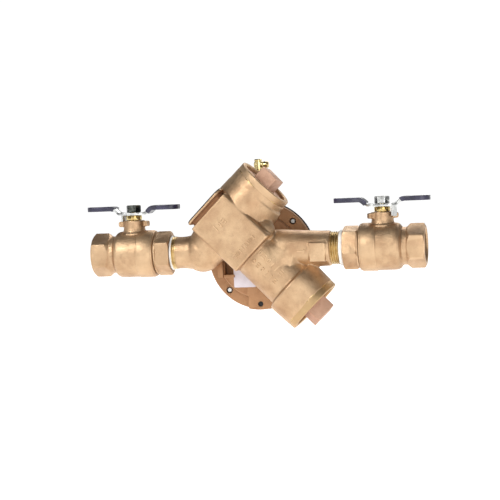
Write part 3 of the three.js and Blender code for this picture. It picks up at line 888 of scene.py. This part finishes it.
    def bosses(self) -> list[Solid]:
        """Return the bosses for the test cocks and the sensing passage."""
        layout, base, back = self.layout, self.cock_base, self.layout.backward
        return [
            *[rod("boss_back", 7, 8, base, back(x, 0)) for x in (layout.cock_2, layout.cock_4)],
            rod("boss_sensing", 4.5, 8, 31, back(115.5, 3)),
            rod("boss_three", 7, 50, 72, shifted(*layout.cock_3)),
            slab("boss_web", (155.3, 18, 50), (166.3, 32.5, 69), radius=2),
        ]

    def bores(self) -> list[Solid]:
        """Return the tools that cut the waterways."""
        layout, bulb_x = self.layout, 110.3
        inlet = rod("bore_inlet", layout.bore, 60, bulb_x, layout.pipe)
        bulb = turned("bore_bulb", ball(self.hollow_r, 12), layout.pipe @ shifted(z=bulb_x), 48)
        outlet = rod("bore_outlet", layout.bore, 178, 275, layout.pipe)
        first = turned("bore_first", [
            (0, -36), (13, -36), (13, -27.4), (17.2, -27.4), (17.2, -19.9), (21.5, -19.9),
            (21.5, 36), (self.mouth_bore, 36), (self.mouth_bore, 70), (0, 70),
        ], layout.barrel_1)
        second = turned("bore_second", [
            (0, -17.7), (20.5, -17.7), (20.5, 27.2), (13, 27.2), (13, 30.3), (17.2, 30.3),
            (17.2, 37.8), (21.5, 37.8), (21.5, 98), (self.mouth_bore, 98),
            (self.mouth_bore, 130), (0, 130),
        ], layout.barrel_2)
        room = rod("bore_sensing_room", 34, layout.flange_y + 1.3, 45, layout.relief)
        seat = rod("bore_relief_seat", 12.3, 23, 33, layout.relief)
        taps = [rod("tap_back", layout.tap, 15, 30, layout.backward(x, 0), 32)
                for x in (layout.cock_2, layout.cock_4)]
        taps.append(rod("tap_top", layout.tap, 62, 75, shifted(*layout.cock_3), 32))
        return [inlet, bulb, outlet, first, second, room, seat, *taps]

    def flange(self) -> None:
        """Turn the relief flange and drill its bolt holes."""
        layout = self.layout
        front, back = layout.flange_y, layout.flange_back
        ring = turned("relief_flange", [
            (34.2, front + 0.2), (layout.flange_r - 1.2, front), (layout.flange_r, front + 1),
            (layout.flange_r, back - 0.5), (layout.flange_r - 0.5, back), (34.2, back),
        ], layout.relief, 160)
        drill_bolt_holes(ring, 3.4, front - 3, back + 3)
        shade(ring, 40)
        fit(ring, Finish.RUSTY)

    def mouth(self, number: int, place: Place, mouth: float, radius: float) -> None:
        """Turn the machined band at one barrel's mouth."""
        outer = radius - 0.15
        band = turned(f"mouth_band_{number}", [
            (self.mouth_bore, mouth - 9), (outer - 1, mouth - 9), (outer, mouth - self.band),
            (outer, mouth - 0.7), (outer - 0.7, mouth), (self.mouth_bore + 0.9, mouth),
            (self.mouth_bore, mouth - 0.9),
        ], place, 160)
        shade(band, 30)
        fit(band, Finish.BODY if number == 1 else Finish.BAND)
        self.witness_lines(number, place, mouth, radius)

    def witness_lines(self, number: int, place: Place, mouth: float, radius: float) -> None:
        """Raise the thin arcs where the cutter just touched the cast skin; their bright brass is a
        painted highlight on that small step.
        """
        arcs = []
        for turn, spread, drop in self.witness:
            arc = turned("arc", [
                (radius - 0.8, mouth - drop), (radius + 0.12, mouth - drop + 0.1),
                (radius + 0.12, mouth - drop + 0.5), (radius - 0.8, mouth - drop + 0.6),
            ], segments=160)
            reach = 40 * math.tan(math.radians(spread))
            wedge = slab("wedge", (-reach, 8, mouth - 20), (reach, 40, mouth + 5), spun(turn))
            arcs.append(settle(combine(arc, wedge, Solver.KEEP_COMMON), place))
        lines = welded(f"witness_lines_{number}", arcs)
        shade(lines, 40)
        fit(lines, Finish.BRASS)

    def threads(self, name: str, low: float, high: float) -> None:
        """Turn the exposed pipe thread at one end of the casting."""
        pitch, inside, crest, root = 2.209, 14.5, self.thread_r - 0.1, self.thread_root
        profile, x = [(inside, low)], low
        while x + pitch <= high - 0.4:
            profile += [(root, x), (crest, x + pitch * 0.4), (crest, x + pitch * 0.55)]
            x += pitch
        end = self.thread_r - 0.3
        profile += [(root, x), (end, x + 0.3), (end, high), (inside, high)]
        piece = turned(f"{name}_thread", profile, self.layout.pipe, 96)
        shade(piece, 30)
        fit(piece, Finish.THREAD)


class Mark(Enum):
    """The plain raised marks, none of them a letter."""

    BAR = 1
    DASHES = 2
    RING = 3


@dataclass
class CastMarks:
    """Generic raised marks on the body casting."""

    layout: Layout = LAYOUT
    stroke: float = 1.15
    raised: float = 0.8
    order: tuple[Mark, ...] = (Mark.BAR, Mark.RING, Mark.DASHES, Mark.RING, Mark.BAR,
                               Mark.BAR, Mark.DASHES)

    def build(self) -> None:
        """Raise all the marks of the body casting."""
        barrel = self.layout.barrel_2
        across = Matrix(((1, 0, 0, 0), (0, 0, 1, 0), (0, -1, 0, 0), (0, 0, 0, 1)))
        down = Matrix(((0, 1, 0, 0), (0, 0, 1, 0), (1, 0, 0, 0), (0, 0, 0, 1)))
        pieces = [
            *self.row(barrel @ shifted(-6, 32, -1.5) @ across, 3, 5.2, 7.6),
            *self.row(barrel @ shifted(-12.5, 32, 30.5) @ across, 8, 3.6, 4.4, 2),
        ]
        for turn, start, count, height in ((-13, 45, 6, 7.0), (11, 46, 6, 6.0)):
            pieces += self.row(barrel @ spun(turn) @ shifted(0, 25.7, start) @ down, count, 5.6,
                               height, 1)
        arrow = shifted(207.5, -18.5, -1.5) @ spun(90, "X")
        pieces += self.arrow(arrow, 8.0)
        marks = welded("cast_marks", pieces)
        soften(marks, 0.3, 2)
        fit(marks, Finish.BODY)

    def row(self, place: Place, count: int, pitch: float, height: float, start: int = 0,
            ) -> list[Solid]:
        """Return a row of marks.

        Args:
            place: Frame of the first mark: x along the row, y up the mark, z outwards.
            count: Number of marks.
            pitch: Spacing, in millimetres.
            height: Height of a mark.
            start: Where to start in the order of marks.

        Returns:
            The pieces of all the marks.
        """
        pieces: list[Solid] = []
        for index in range(count):
            mark = self.order[(start + index) % len(self.order)]
            pieces += self.mark(mark, place @ shifted(index * pitch), pitch * 0.62, height)
        return pieces

    def mark(self, kind: Mark, place: Place, width: float, height: float,
             ) -> list[Solid]:
        """Return the pieces of one mark."""
        half, low = self.stroke / 2, -1.2
        if kind is Mark.BAR:
            return [slab("bar", (-half, -height / 2, low), (half, height / 2, self.raised), place)]
        if kind is Mark.DASHES:
            return [slab("dash", (-width / 2, y - half, low), (width / 2, y + half, self.raised),
                         place) for y in (-height / 3, 0, height / 3)]
        outer = width / 2
        ring = turned("ring", [
            (outer - self.stroke, low), (outer, low), (outer, self.raised),
            (outer - self.stroke, self.raised),
        ], Matrix.Diagonal((1, height / width * 0.9, 1, 1)), 28)
        return [settle(ring, place)]

    def arrow(self, place: Place, length: float) -> list[Solid]:
        """Return the pieces of a plain flow arrow pointing along x."""
        half = self.stroke / 2
        shaft = slab("shaft", (0, -half, -1.5), (length, half, self.raised), place)
        head = [slab("head", (-length * 0.42, -half, -1.5), (0.3, half, self.raised),
                     place @ shifted(length) @ spun(turn)) for turn in (32, -32)]
        return [shaft, *head]


# ------------------------------------------------------------------------------ check valves
@dataclass
class CheckCap:
    """One barrel's screwed cap with its square lug."""

    name: str
    place: Place
    mouth: float
    lug: float
    turn: float
    across: float

    def build(self) -> None:
        """Build the cap as a cast cup with a bored guide and a square lug."""
        top, inner = self.mouth - 3.6, self.mouth - 17.5
        shell = turned(f"{self.name}_shell", [
            (0, inner), (21.2, inner), (21.2, inner + 4.3), (24.4, inner + 4.6),
            (24.4, top - 0.8), (23.6, top), (12, top + 0.4), (0, top + 0.4),
        ], segments=128)
        half = self.across / 2
        lug = slab("lug", (-half, -half, top - 2), (half, half, self.mouth + self.lug),
                   spun(self.turn), 1.0, 2, 3)
        combine(shell, lug, Solver.JOIN)
        hollow = turned("hollow", [
            (8.6, inner - 2), (16.4, inner - 2), (16.4, top - 5), (8.6, top - 5),
        ], segments=64)
        guide = rod("guide", 4.3, inner - 2, self.mouth + self.lug - 4, segments=48)
        carve(shell, hollow, guide)
        settle(shell, self.place)
        soften(shell, 0.7, 3)
        shell.name = f"{self.name}_cap{DETAILED}"
        fit(shell, Finish.CAP)


# ------------------------------------------------------------------------------ relief valve
@dataclass
class ReliefValve:
    """The relief valve's cover, diaphragm, bolts and label."""

    layout: Layout = LAYOUT
    rim: float = 5.3
    lowest: int = 6

    def build(self) -> None:
        """Build every visible piece of the relief valve."""
        self.cover()
        self.diaphragm()
        self.bolts()
        self.label()

    def cover(self) -> None:
        """Cast the domed cover with its bolt pads."""
        y = self.layout.flange_back + self.layout.gasket
        shell = turned(f"relief_cover{DETAILED}", [
            (0, 62), (24, 62), (31, 59), (34, 54), (34, y), (52, y), (52.5, y + 0.5),
            (52.5, y + 4.5), (52, y + 5), (42, y + 5), (39.4, y + 6.2), (38.3, y + 9), (38, 55),
            (37, 59.4), (34, 63), (30, 65.2), (25, 66), (0, 66),
        ], self.layout.relief, 160)
        drill_bolt_holes(shell, 3.4, y - 3, y + 9)
        soften(shell, 0.5, 2)
        fit(shell, Finish.BODY)

    def diaphragm(self) -> None:
        """Mould the diaphragm with its rolled step."""
        y = self.layout.flange_back + 0.3
        sheet = turned(f"relief_diaphragm{DETAILED}", [
            (0, 50.6), (23, 50.6), (25.4, 49.8), (27.4, 47.6), (28.4, 44), (29.8, y + 1.2),
            (32, y), (53.8, y), (54.3, y + 0.5), (54.3, y + 1.5), (53.8, y + 2), (34, y + 2),
            (31.8, y + 2.8), (30.4, 45), (29.2, 49), (27, 51.6), (24, 52.4), (0, 52.4),
        ], self.layout.relief, 160)
        drill_bolt_holes(sheet, 3.3, y - 3, y + 5, 24)
        shade(sheet, 40)
        fit(sheet, Finish.RUBBER)

    def bolts(self) -> None:
        """Make the eight cover bolts; the lowest one is short."""
        y = self.layout.flange_back + self.layout.gasket + self.rim
        for index, place in enumerate(self.layout.bolts):
            tip = self.layout.flange_y + (5 if index == self.lowest else 0.6)
            bolt = turned(f"cover_bolt_{index + 1}{DETAILED}", [
                (0, tip), (1.9, tip), (2.7, tip + 0.8), *ridges(2.4, 2.88, tip + 1, y - 3),
                (2.9, y + 0.4), (0, y + 0.4),
            ], segments=24)
            head = hexagonal("head", 10, y, y + 4, 0.9, turn=15 * index)
            combine(bolt, head, Solver.JOIN)
            settle(bolt, place)
            shade(bolt, 30)
            fit(bolt, Finish.ZINC)

    def label(self) -> None:
        """Lay the blank label on the front of the relief hub."""
        plate = slab("hub_label", (136.0, 18.3, -37.2), (158, 18.9, -13), HERE, 1.0, 1, 4)
        soften(plate, 0.1, 1)
        fit(plate, Finish.LABEL)


# ------------------------------------------------------------------------------ ball valves
@dataclass
class Handle:
    """A stamped butterfly handle, seen from the side as plate, two arms and two wings."""

    plate: float = 12.5
    rise: float = 21.0
    tip: float = 45.4
    plate_z: float = 40.0
    wing_z: float = 45.6
    sheet: float = 2.2

    def height(self, x: float) -> float:
        """Return the middle height of the strip at a distance from the stem."""
        t = min(max((abs(x) - self.plate) / (self.rise - self.plate), 0), 1)
        ease = t * t * (3 - 2 * t)
        return self.plate_z + (self.wing_z - self.plate_z) * ease

    def half_width(self, x: float, grow: float = 0) -> float:
        """Return half the strip's width at a distance from the stem."""
        tip = self.tip + grow
        d = abs(x)
        middle = 12 - 5 * min(max((d - 7) / 8, 0), 1) ** 2
        wing = 7 + 3 * min(max((d - 16) / 12, 0), 1)
        base = middle if d < 15 else wing
        round_off = max(tip - d, 0)
        radius = 8 + grow
        if round_off < radius:
            base = base - radius + math.sqrt(max(radius ** 2 - (radius - round_off) ** 2, 0))
        return max(base + grow, 0.6)

    def strip(self, name: str, low: float, high: float, grow: float) -> Solid:
        """Extrude an open strip that follows the handle's side view.

        Args:
            name: The new object's name.
            low: Where it starts, from the stem.
            high: Where it ends.
            grow: How much wider than the bare sheet it is, each side.

        Returns:
            The strip, one face thick, with seven rows of corners across.
        """
        steps = max(int(abs(high - low) / 1.1), 8)
        stations = [low + (high - low) * (1 - math.cos(math.pi * i / steps)) / 2
                    for i in range(steps + 1)]
        bpy.ops.object.select_all(action="DESELECT")
        bpy.ops.mesh.primitive_plane_add(size=1)
        obj = added(name)
        bpy.ops.object.mode_set(mode="EDIT")
        bpy.ops.mesh.select_mode(type="VERT")
        bpy.ops.mesh.select_all(action="SELECT")
        bpy.ops.mesh.merge(type="CENTER")
        x, half = stations[0], self.half_width(stations[0], grow)
        bpy.ops.transform.translate(value=(x * MM, -half * MM, self.height(x) * MM))
        for _ in range(6):
            step = (0, half / 3 * MM, 0)
            bpy.ops.mesh.extrude_region_move(TRANSFORM_OT_translate={"value": step})
        bpy.ops.mesh.select_all(action="SELECT")
        for next_x in stations[1:]:
            rise = self.height(next_x) - self.height(x)
            step = ((next_x - x) * MM, 0, rise * MM)
            bpy.ops.mesh.extrude_region_move(TRANSFORM_OT_translate={"value": step})
            ratio = self.half_width(next_x, grow) / self.half_width(x, grow)
            bpy.ops.transform.resize(value=(1, ratio, 1), center_override=(0, 0, 0))
            x = next_x
        bpy.ops.object.mode_set(mode="OBJECT")
        return obj

    def press_rib(self, obj: Solid) -> None:
        """Raise the stiffening rib along the middle of each arm."""
        for vertex in obj.data.vertices:
            x, y, _ = vertex.co / MM
            across = max(1 - abs(y) / (self.half_width(x) * 0.62), 0)
            along_arm = min(max((abs(x) - 8) / 5, 0), 1)
            vertex.co.z += 1.3 * MM * across * along_arm


@dataclass
class BallValve:
    """One ball valve, made along +X from its outer end and turned round at the outlet."""

    name: str
    body: str
    place: Place
    nut: Finish
    with_cock: bool
    retainer_turn: float
    layout: Layout = LAYOUT
    across: float = 37.7
    case_r: float = 22.8
    boss_r: float = 10.4
    boss_top: float = 33.4
    handle: Handle = field(default_factory=Handle)

    def build(self) -> None:
        """Build the valve's casting, retainer, packing nut, handle, grips and nut."""
        self.case()
        self.retainer()
        self.packing_nut()
        self.stem()
        self.butterfly()
        self.grips()
        self.handle_nut()

    @property
    def lying(self) -> Place:
        """The valve's own frame with z along the pipe, before it is placed."""
        return self.layout.pipe

    @property
    def standing(self) -> Place:
        """The valve's own frame with z up its stem, before it is placed."""
        return shifted(x=self.layout.stem)

    @property
    def cock(self) -> Place:
        """The frame of the test cock on the valve's back, before it is placed."""
        return self.layout.backward(self.layout.cock_1, 0)

    def case(self) -> None:
        """Cast the case with its hexagonal end, stem boss and stops."""
        shell = turned("case_shell", [
            (0, 12), (18.2, 12), (18.2, 22.2), (19.6, 23.2), (21.4, 24.6), (22.5, 26.8),
            (self.case_r, 29.4), (self.case_r, 61.4), (22.6, 62.6), (21.8, 63.5), (0, 63.6),
        ], self.lying)
        boss = turned("case_boss", [
            (0, 12), (13.0, 20.2), (11.2, 22.4), (self.boss_r + 0.2, 25.4),
            (self.boss_r, self.boss_top), (0, self.boss_top),
        ], self.standing)
        parts = [shell, boss]
        for turn, reach in ((180, 15.4), (0, 13.8), (34, 15.4)):
            parts.append(slab("stop", (7, -2.8, 27.2), (reach, 2.8, 32.6),
                              self.standing @ spun(turn), 1.4, 1, 3))
        if self.with_cock:
            parts.append(rod("cock_boss", 6.5, 15, 28.5, self.cock))
        case = cast(welded(f"{self.name}_valve_body{DETAILED}", parts), 0.55, 2)
        hollow = turned("case_hollow", [
            (0, -3), (15.9, -3), (15.9, 0.4), (15.2, 1.2), (15, 15), (self.layout.bore, 15.4),
            (self.layout.bore, 24.7), (18, 24.7), (18, 70), (0, 70),
        ], self.lying)
        well = turned("stem_well", [
            (0, 12), (8, 12), (8, 20), (6.3, 20), (6.3, 40), (0, 40),
        ], self.standing, 48)
        carve(case, hollow, well)
        if self.with_cock:
            carve(case, rod("tap", self.layout.tap, 19, 33, self.cock, 32))
        settle(case, self.place)
        shade(case, 50)
        fit(case, Finish.BODY)
        self.end_hexagon()
        self.seam()

    def end_hexagon(self) -> None:
        """Make the crisp hexagonal end with its coned shoulder and threaded socket."""
        piece = rod(f"{self.name}_end_hexagon", corner_radius(self.across) + 0.2, 0, 19,
                    spun(30), 6)
        shape = turned("end_shape", [
            (0, 0), (18.8, 0), (21.6, 1.7), (21.6, 14.4), (18.4, 17.9), (18.4, 18.6), (0, 18.6),
        ], segments=120)
        combine(piece, shape, Solver.KEEP_COMMON)
        carve(piece, turned("socket", [
            (0, -2), (17.2, -2), (16.0, 0.9), *ridges(15.1, 15.9, 1.6, 14, 2.2, 1.0),
            (15.0, 15), (self.layout.bore, 15.4), (self.layout.bore, 30), (0, 30),
        ]))
        settle(piece, self.place @ self.lying)
        soften(piece, 0.35, 2, 24)
        fit(piece, Finish.BODY)

    def seam(self) -> None:
        """Raise the thin parting line round the case."""
        line = turned(f"{self.name}_parting_line", [
            (self.case_r - 1, 46.6), (self.case_r + 0.4, 46.9), (self.case_r + 0.6, 47.5),
            (self.case_r + 0.4, 61.0), (self.case_r - 0.3, 61.9), (self.case_r - 1, 62.1),
        ], self.lying, 128)
        settle(line, self.place)
        shade(line, 60)
        fit(line, Finish.BODY)

    def retainer(self) -> None:
        """Turn the retainer from hexagonal bar."""
        piece = hexagonal(f"{self.name}_valve_retainer{DETAILED}", self.across + 0.2, 65, 79.2, 1.7,
                          self.lying, 30 + self.retainer_turn)
        collar = turned("collar", [
            (0, 57.8), (17.7, 57.8), (17.7, 63.9), (20.2, 64.0), (20.2, 65.6), (18.4, 66.4),
            (18.4, 78.5), (0, 78.5),
        ], self.lying)
        combine(piece, collar, Solver.JOIN)
        bore = turned("bore", [
            (0, 50), (self.layout.bore, 50), (self.layout.bore, 64.2), (16.6, 64.2),
            (16.6, 78), (17.1, 80), (0, 80),
        ], self.lying)
        carve(piece, bore)
        settle(piece, self.place)
        soften(piece, 0.3, 2, 24)
        fit(piece, Finish.BODY)

    def packing_nut(self) -> None:
        """Turn the castellated packing nut."""
        low, high = self.boss_top + 0.3, 38.4
        nut = turned(f"{self.name}_packing_nut{DETAILED}", [
            (5.1, low), (7.7, low), (7.8, low + 0.2), (7.8, high - 0.5), (7.3, high),
            (5.1, high),
        ], self.standing, 72)
        for turn in (10, 70, 130):
            carve(nut, slab("notch", (-12, -1.5, 36), (12, 1.5, 40), self.standing @ spun(turn)))
        settle(nut, self.place)
        soften(nut, 0.15, 2)
        fit(nut, Finish.BRASS)

    def stem(self) -> None:
        """Turn the stem with its threaded top and driving tang."""
        piece = turned(f"{self.name}_valve_stem{DETAILED}", [
            (0, 16.6), (7.6, 16.6), (7.6, 19.4), (6, 19.7), (6, 33), (4.6, 33.4),
            *ridges(4.2, 4.6, 41.5, 47), (4.5, 47.8), (3.9, 48.6), (0, 48.8),
        ], self.standing, 48)
        tang = slab("tang", (-6, -2.5, 13), (6, 2.5, 17), self.standing, 0.5)
        combine(piece, tang, Solver.JOIN)
        settle(piece, self.place)
        shade(piece, 35)
        fit(piece, Finish.BRASS, self.body)

    def butterfly(self) -> None:
        """Stamp the handle with its ribs and its bent stop tab."""
        sheet = self.handle.sheet
        strip = self.handle.strip(f"{self.name}_handle{DETAILED}", -self.handle.tip,
                                  self.handle.tip, 0)
        self.handle.press_rib(strip)
        apply_modifier(strip, "SOLIDIFY", thickness=sheet * MM, offset=0.0)
        mend(strip)
        settle(strip, self.standing)
        carve(strip, rod("hole", 4.9, 34, 48, self.standing, 48))
        tab = slab("tab", (-14.6, -3.4, 29), (-12.4, 3.4, 41), self.standing @ spun(-28), 1.0, 0, 4)
        combine(strip, tab, Solver.JOIN)
        settle(strip, self.place)
        soften(strip, 0.45, 2, 40)
        fit(strip, Finish.ZINC, self.body)

    def grips(self) -> None:
        """Dip both wings in vinyl."""
        for side, inner, label in ((-1, 18.6, "outer"), (1, 15.4, "inner")):
            start, end = side * inner, side * (self.handle.tip + 0.9)
            sleeve = self.handle.strip(f"{self.name}_grip_{label}{DETAILED}", start, end, 1.3)
            apply_modifier(sleeve, "SOLIDIFY", thickness=4.5 * MM, offset=0.0)
            mend(sleeve)
            apply_modifier(sleeve, "BEVEL", width=1.7 * MM, segments=3, limit_method="ANGLE",
                           angle_limit=math.radians(50))
            apply_modifier(sleeve, "SMOOTH", factor=0.5, iterations=4)
            settle(sleeve, self.place @ self.standing)
            shade(sleeve, 60)
            fit(sleeve, Finish.VINYL, self.body)

    def handle_nut(self) -> None:
        """Make the nut that holds the handle."""
        nut = hexagonal(f"{self.name}_handle_nut{DETAILED}", 12.8, 41.4, 48.5, 1.0, turn=30)
        carve(nut, rod("hole", 4.75, 35, 60, segments=48))
        settle(nut, self.place @ self.standing)
        soften(nut, 0.3, 2)
        fit(nut, self.nut, self.body)


# ------------------------------------------------------------------------------ small pieces
@dataclass
class TestCock:
    """One brass test cock with a slotted stem across it."""

    number: int
    place: Place

    def build(self) -> None:
        """Build the cock's body and stem."""
        name = f"test_cock_{self.number}"
        body = turned(f"{name}_body{DETAILED}", [
            (0, -9), (3.7, -9), (4.0, -8.6), (4.0, 0.5), (4.6, 4.6), (3.9, 5.2), (3.9, 14.6),
            (3.5, 15), (3.5, 15.6), (3.9, 16), (3.9, 16.6), (3.1, 17.4), (0, 17.4),
        ], segments=48)
        combine(body, hexagonal("hex", 10.5, 0.3, 5, 0.8), Solver.JOIN)
        cross = shifted(z=11.5) @ spun(90, "Y")
        cheek = turned("cheek", [
            (0, -3.9), (2.6, -3.9), (3.4, -3.2), (3.4, 4.8), (3.1, 5.2), (0, 5.2),
        ], cross, 40)
        combine(body, cheek, Solver.JOIN)
        carve(body, rod("hole", 1.5, -12, 20, segments=24), rod("hole", 2.5, -4.6, 8, cross, 24))
        settle(body, self.place)
        soften(body, 0.15, 2)
        fit(body, Finish.BRASS)
        stem = turned(f"{name}_stem{DETAILED}", [
            (0, -3.4), (2.1, -3.4), (2.1, 5.5), (3.1, 5.5), (3.3, 6), (3.3, 9.4), (2.6, 10.4),
            (0, 10.4),
        ], segments=40)
        carve(stem, slab("slot", (-5, -0.6, 8.6), (5, 0.6, 12)),
              rod("hole", 1.2, -5, 5, spun(90, "Y"), 20))
        settle(stem, self.place @ cross)
        soften(stem, 0.12, 2)
        fit(stem, Finish.BRASS, f"cock_{self.number}")


@dataclass
class ThreadTape:
    """White tape wound on one thread, squeezed out beside the valve."""

    name: str
    low: float
    width: float
    radius: float
    layout: Layout = LAYOUT

    def build(self) -> None:
        """Wind the tape as an uneven ring."""
        x, w, r = self.low, self.width, self.radius
        tape = turned(f"{self.name}_thread_tape{DETAILED}", [
            (15.2, x), (r - 0.5, x), (r - 0.2, x + 0.12 * w), (r, x + 0.3 * w),
            (r - 0.12, x + 0.42 * w), (r, x + 0.55 * w), (r - 0.1, x + 0.8 * w),
            (r - 0.6, x + w), (15.2, x + w),
        ], self.layout.pipe, 128)
        texture = bpy.data.textures.new(f"{self.name}_crumple", "CLOUDS")
        texture.noise_scale = 5 * MM
        apply_modifier(tape, "DISPLACE", texture=texture, strength=0.6 * MM, mid_level=0.5)
        shade(tape, 60)
        fit(tape, Finish.TAPE)


@dataclass
class Spring:
    """One coil spring."""

    name: str
    joint: str
    place: Place
    radius: float
    low: float
    high: float
    turns: float
    travel: float
    fixed_high: bool = True
    wire: float = 1.0

    def build(self) -> None:
        """Sweep the wire round its coil."""
        bpy.ops.object.select_all(action="DESELECT")
        bpy.ops.mesh.primitive_circle_add(
            vertices=12, radius=self.wire * MM, fill_type="NOTHING",
            location=(self.radius * MM, 0, (self.low + self.wire) * MM),
            rotation=(math.pi / 2, 0, 0),
        )
        coil = added(f"{self.name}_coil")
        steps = round(40 * self.turns)
        apply_modifier(
            coil, "SCREW", angle=2 * math.pi * self.turns, steps=steps, render_steps=steps,
            screw_offset=(self.high - self.low - 2 * self.wire) * MM, axis="Z",
        )
        in_edit_mode(coil, lambda: bpy.ops.mesh.fill_holes(sides=0))
        mend(coil)
        settle(coil, self.place)
        shade(coil, 40)
        fit(coil, Finish.WIRE, replaces=self.name)
        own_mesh(coil)


@dataclass
class InnerParts:
    """The CAD pieces that stay as they are and only get their finishes."""

    finishes: tuple[tuple[str, Finish], ...] = (
        ("poppet", Finish.PLASTIC), ("check_seat", Finish.PLASTIC),
        ("relief_seat", Finish.PLASTIC), ("seal_disc", Finish.RUBBER), ("oring", Finish.RUBBER),
        ("valve_ball", Finish.CHROME), ("valve_seat", Finish.TAPE), ("relief_stem", Finish.WIRE),
        ("relief_piston", Finish.BRASS),
    )

    def dress(self, nodes: dict[str, Solid]) -> None:
        """Dress each kept node in the finish for its kind."""
        for name, node in nodes.items():
            for key, finish in self.finishes:
                if key in name:
                    dress(node, finish)


# ------------------------------------------------------------------------------ studio
@dataclass
class Studio:
    """The camera, the lights and the pale floor."""

    azimuth: float = 12.0
    elevation: float = 2.5
    roll: float = 2.3
    distance: float = 1566.0
    lens: float = 115.2
    target: tuple[float, float, float] = (157.4, 0.0, 0.5)

    def build(self) -> None:
        """Set up the whole studio."""
        self.camera()
        self.lights()
        self.floor()

    def camera(self) -> None:
        """Place the camera at the viewing angle."""
        a, e, roll = (math.radians(v) for v in (self.azimuth, self.elevation, self.roll))
        back = Vector((math.sin(a) * math.cos(e), -math.cos(a) * math.cos(e), math.sin(e)))
        right = Vector((math.cos(a), math.sin(a), 0))
        up = back.cross(right)
        tilted_right = math.cos(roll) * right - math.sin(roll) * up
        tilted_up = math.sin(roll) * right + math.cos(roll) * up
        place = Matrix((tilted_right, tilted_up, back)).transposed().to_4x4()
        place.translation = Vector(self.target) * MM + back * self.distance * MM
        data = bpy.data.cameras.new("camera")
        data.lens, data.sensor_width = self.lens, 36
        camera = bpy.data.objects.new("camera", data)
        camera.matrix_world = place
        bpy.context.scene.collection.objects.link(camera)
        bpy.context.scene.camera = camera

    def lights(self) -> None:
        """Hang the soft boxes in a room that is white below and dim above."""
        self.box("key_box", (-0.5, -1.15, 0.85), 0.6, 12)
        self.box("fill_box", (0.85, -1.2, 0.2), 0.7, 5)
        self.box("back_box", (0.3, 0.9, 0.9), 0.8, 6)
        world = bpy.data.worlds.new("room")
        bpy.context.scene.world = world
        world.use_nodes = True
        tree = world.node_tree
        direction = tree.nodes.new("ShaderNodeTexCoord").outputs["Generated"]
        split = tree.nodes.new("ShaderNodeSeparateXYZ")
        tree.links.new(direction, split.inputs["Vector"])
        ramp = tree.nodes.new("ShaderNodeMapRange")
        for socket, value in (("From Min", -0.15), ("From Max", 0.55), ("To Min", 0.82),
                              ("To Max", 0.11)):
            ramp.inputs[socket].default_value = value
        tree.links.new(split.outputs["Z"], ramp.inputs["Value"])
        seen = tree.nodes.new("ShaderNodeLightPath").outputs["Is Camera Ray"]
        blend = tree.nodes.new("ShaderNodeMix")
        tree.links.new(seen, blend.inputs["Factor"])
        tree.links.new(ramp.outputs["Result"], blend.inputs["A"])
        blend.inputs["B"].default_value = 1.05
        background = tree.nodes["Background"]
        background.inputs["Color"].default_value = (1, 1, 1, 1)
        tree.links.new(blend.outputs["Result"], background.inputs["Strength"])
        bpy.context.scene.view_settings.view_transform = "Standard"

    def box(self, name: str, place: Sequence[float], size: float, power: float) -> None:
        """Hang one square soft box aimed at the middle of the object."""
        data = bpy.data.lights.new(name, "AREA")
        data.shape, data.size, data.energy = "SQUARE", size, power
        lamp = bpy.data.objects.new(name, data)
        aim = Vector(self.target) * MM - Vector(place)
        lamp.location = place
        lamp.rotation_euler = aim.to_track_quat("-Z", "Y").to_euler()
        bpy.context.scene.collection.objects.link(lamp)

    def floor(self) -> None:
        """Lay a wide pale floor under the object."""
        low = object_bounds()[0][2]
        bpy.ops.object.select_all(action="DESELECT")
        bpy.ops.mesh.primitive_plane_add(size=12, location=(0.15, 0, low - 0.004))
        floor = bpy.context.object
        floor.name = "studio_floor"
        web = Web("studio_floor")
        web.put("Base Color", (0.9, 0.9, 0.9))
        web.put("Roughness", 0.6)
        web.put("Emission Color", (1.0, 1.0, 1.0))
        web.put("Emission Strength", 0.9)
        floor.data.materials.append(web.material)
        floor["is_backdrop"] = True


def main() -> None:
    """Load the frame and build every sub-assembly around it."""
    logging.basicConfig(level=logging.INFO, format="%(name)s: %(message)s")
    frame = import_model()
    layout = LAYOUT
    Studio().build()
    InnerParts().dress(frame["nodes"])
    BodyCasting().build()
    CheckCap("first_check", layout.barrel_1, layout.mouth_1, lug=10.5, turn=-15,
             across=19.5).build()
    CheckCap("second_check", layout.barrel_2, layout.mouth_2, lug=12.5, turn=-27, across=22).build()
    Spring("first_check_spring", "first_check_lift", layout.barrel_1, radius=12.6, low=-9.7,
           high=32.7, turns=4.5, travel=9.2).build()
    Spring("second_check_spring", "second_check_lift", layout.barrel_2, radius=12.6, low=48,
           high=94.6, turns=4.5, travel=9.2).build()
    Spring("relief_spring", "relief_close", layout.relief, radius=16.5, low=31.6, high=46.7,
           turns=3, travel=7.7, fixed_high=False).build()
    ReliefValve().build()
    turned_round = shifted(x=layout.length) @ spun(180)
    BallValve("inlet", "inlet_handle", HERE, Finish.DARK_ZINC, with_cock=True,
              retainer_turn=0).build()
    BallValve("outlet", "outlet_handle", turned_round, Finish.ZINC, with_cock=False,
              retainer_turn=17).build()
    to_back = spun(-90, "X")
    TestCock(1, shifted(layout.cock_1, 28.5) @ to_back).build()
    TestCock(2, shifted(layout.cock_2, 25) @ to_back @ spun(180)).build()
    TestCock(3, shifted(*layout.cock_3, 72)).build()
    TestCock(4, shifted(layout.cock_4, 25) @ to_back).build()
    ThreadTape("inlet", low=layout.valve + 0.8, width=2.0, radius=17.0).build()
    ThreadTape("outlet", low=layout.length - layout.valve - 4.5, width=3.8, radius=17.4).build()
    bpy.ops.object.select_all(action="DESELECT")


if __name__ == "__main__":
    main()
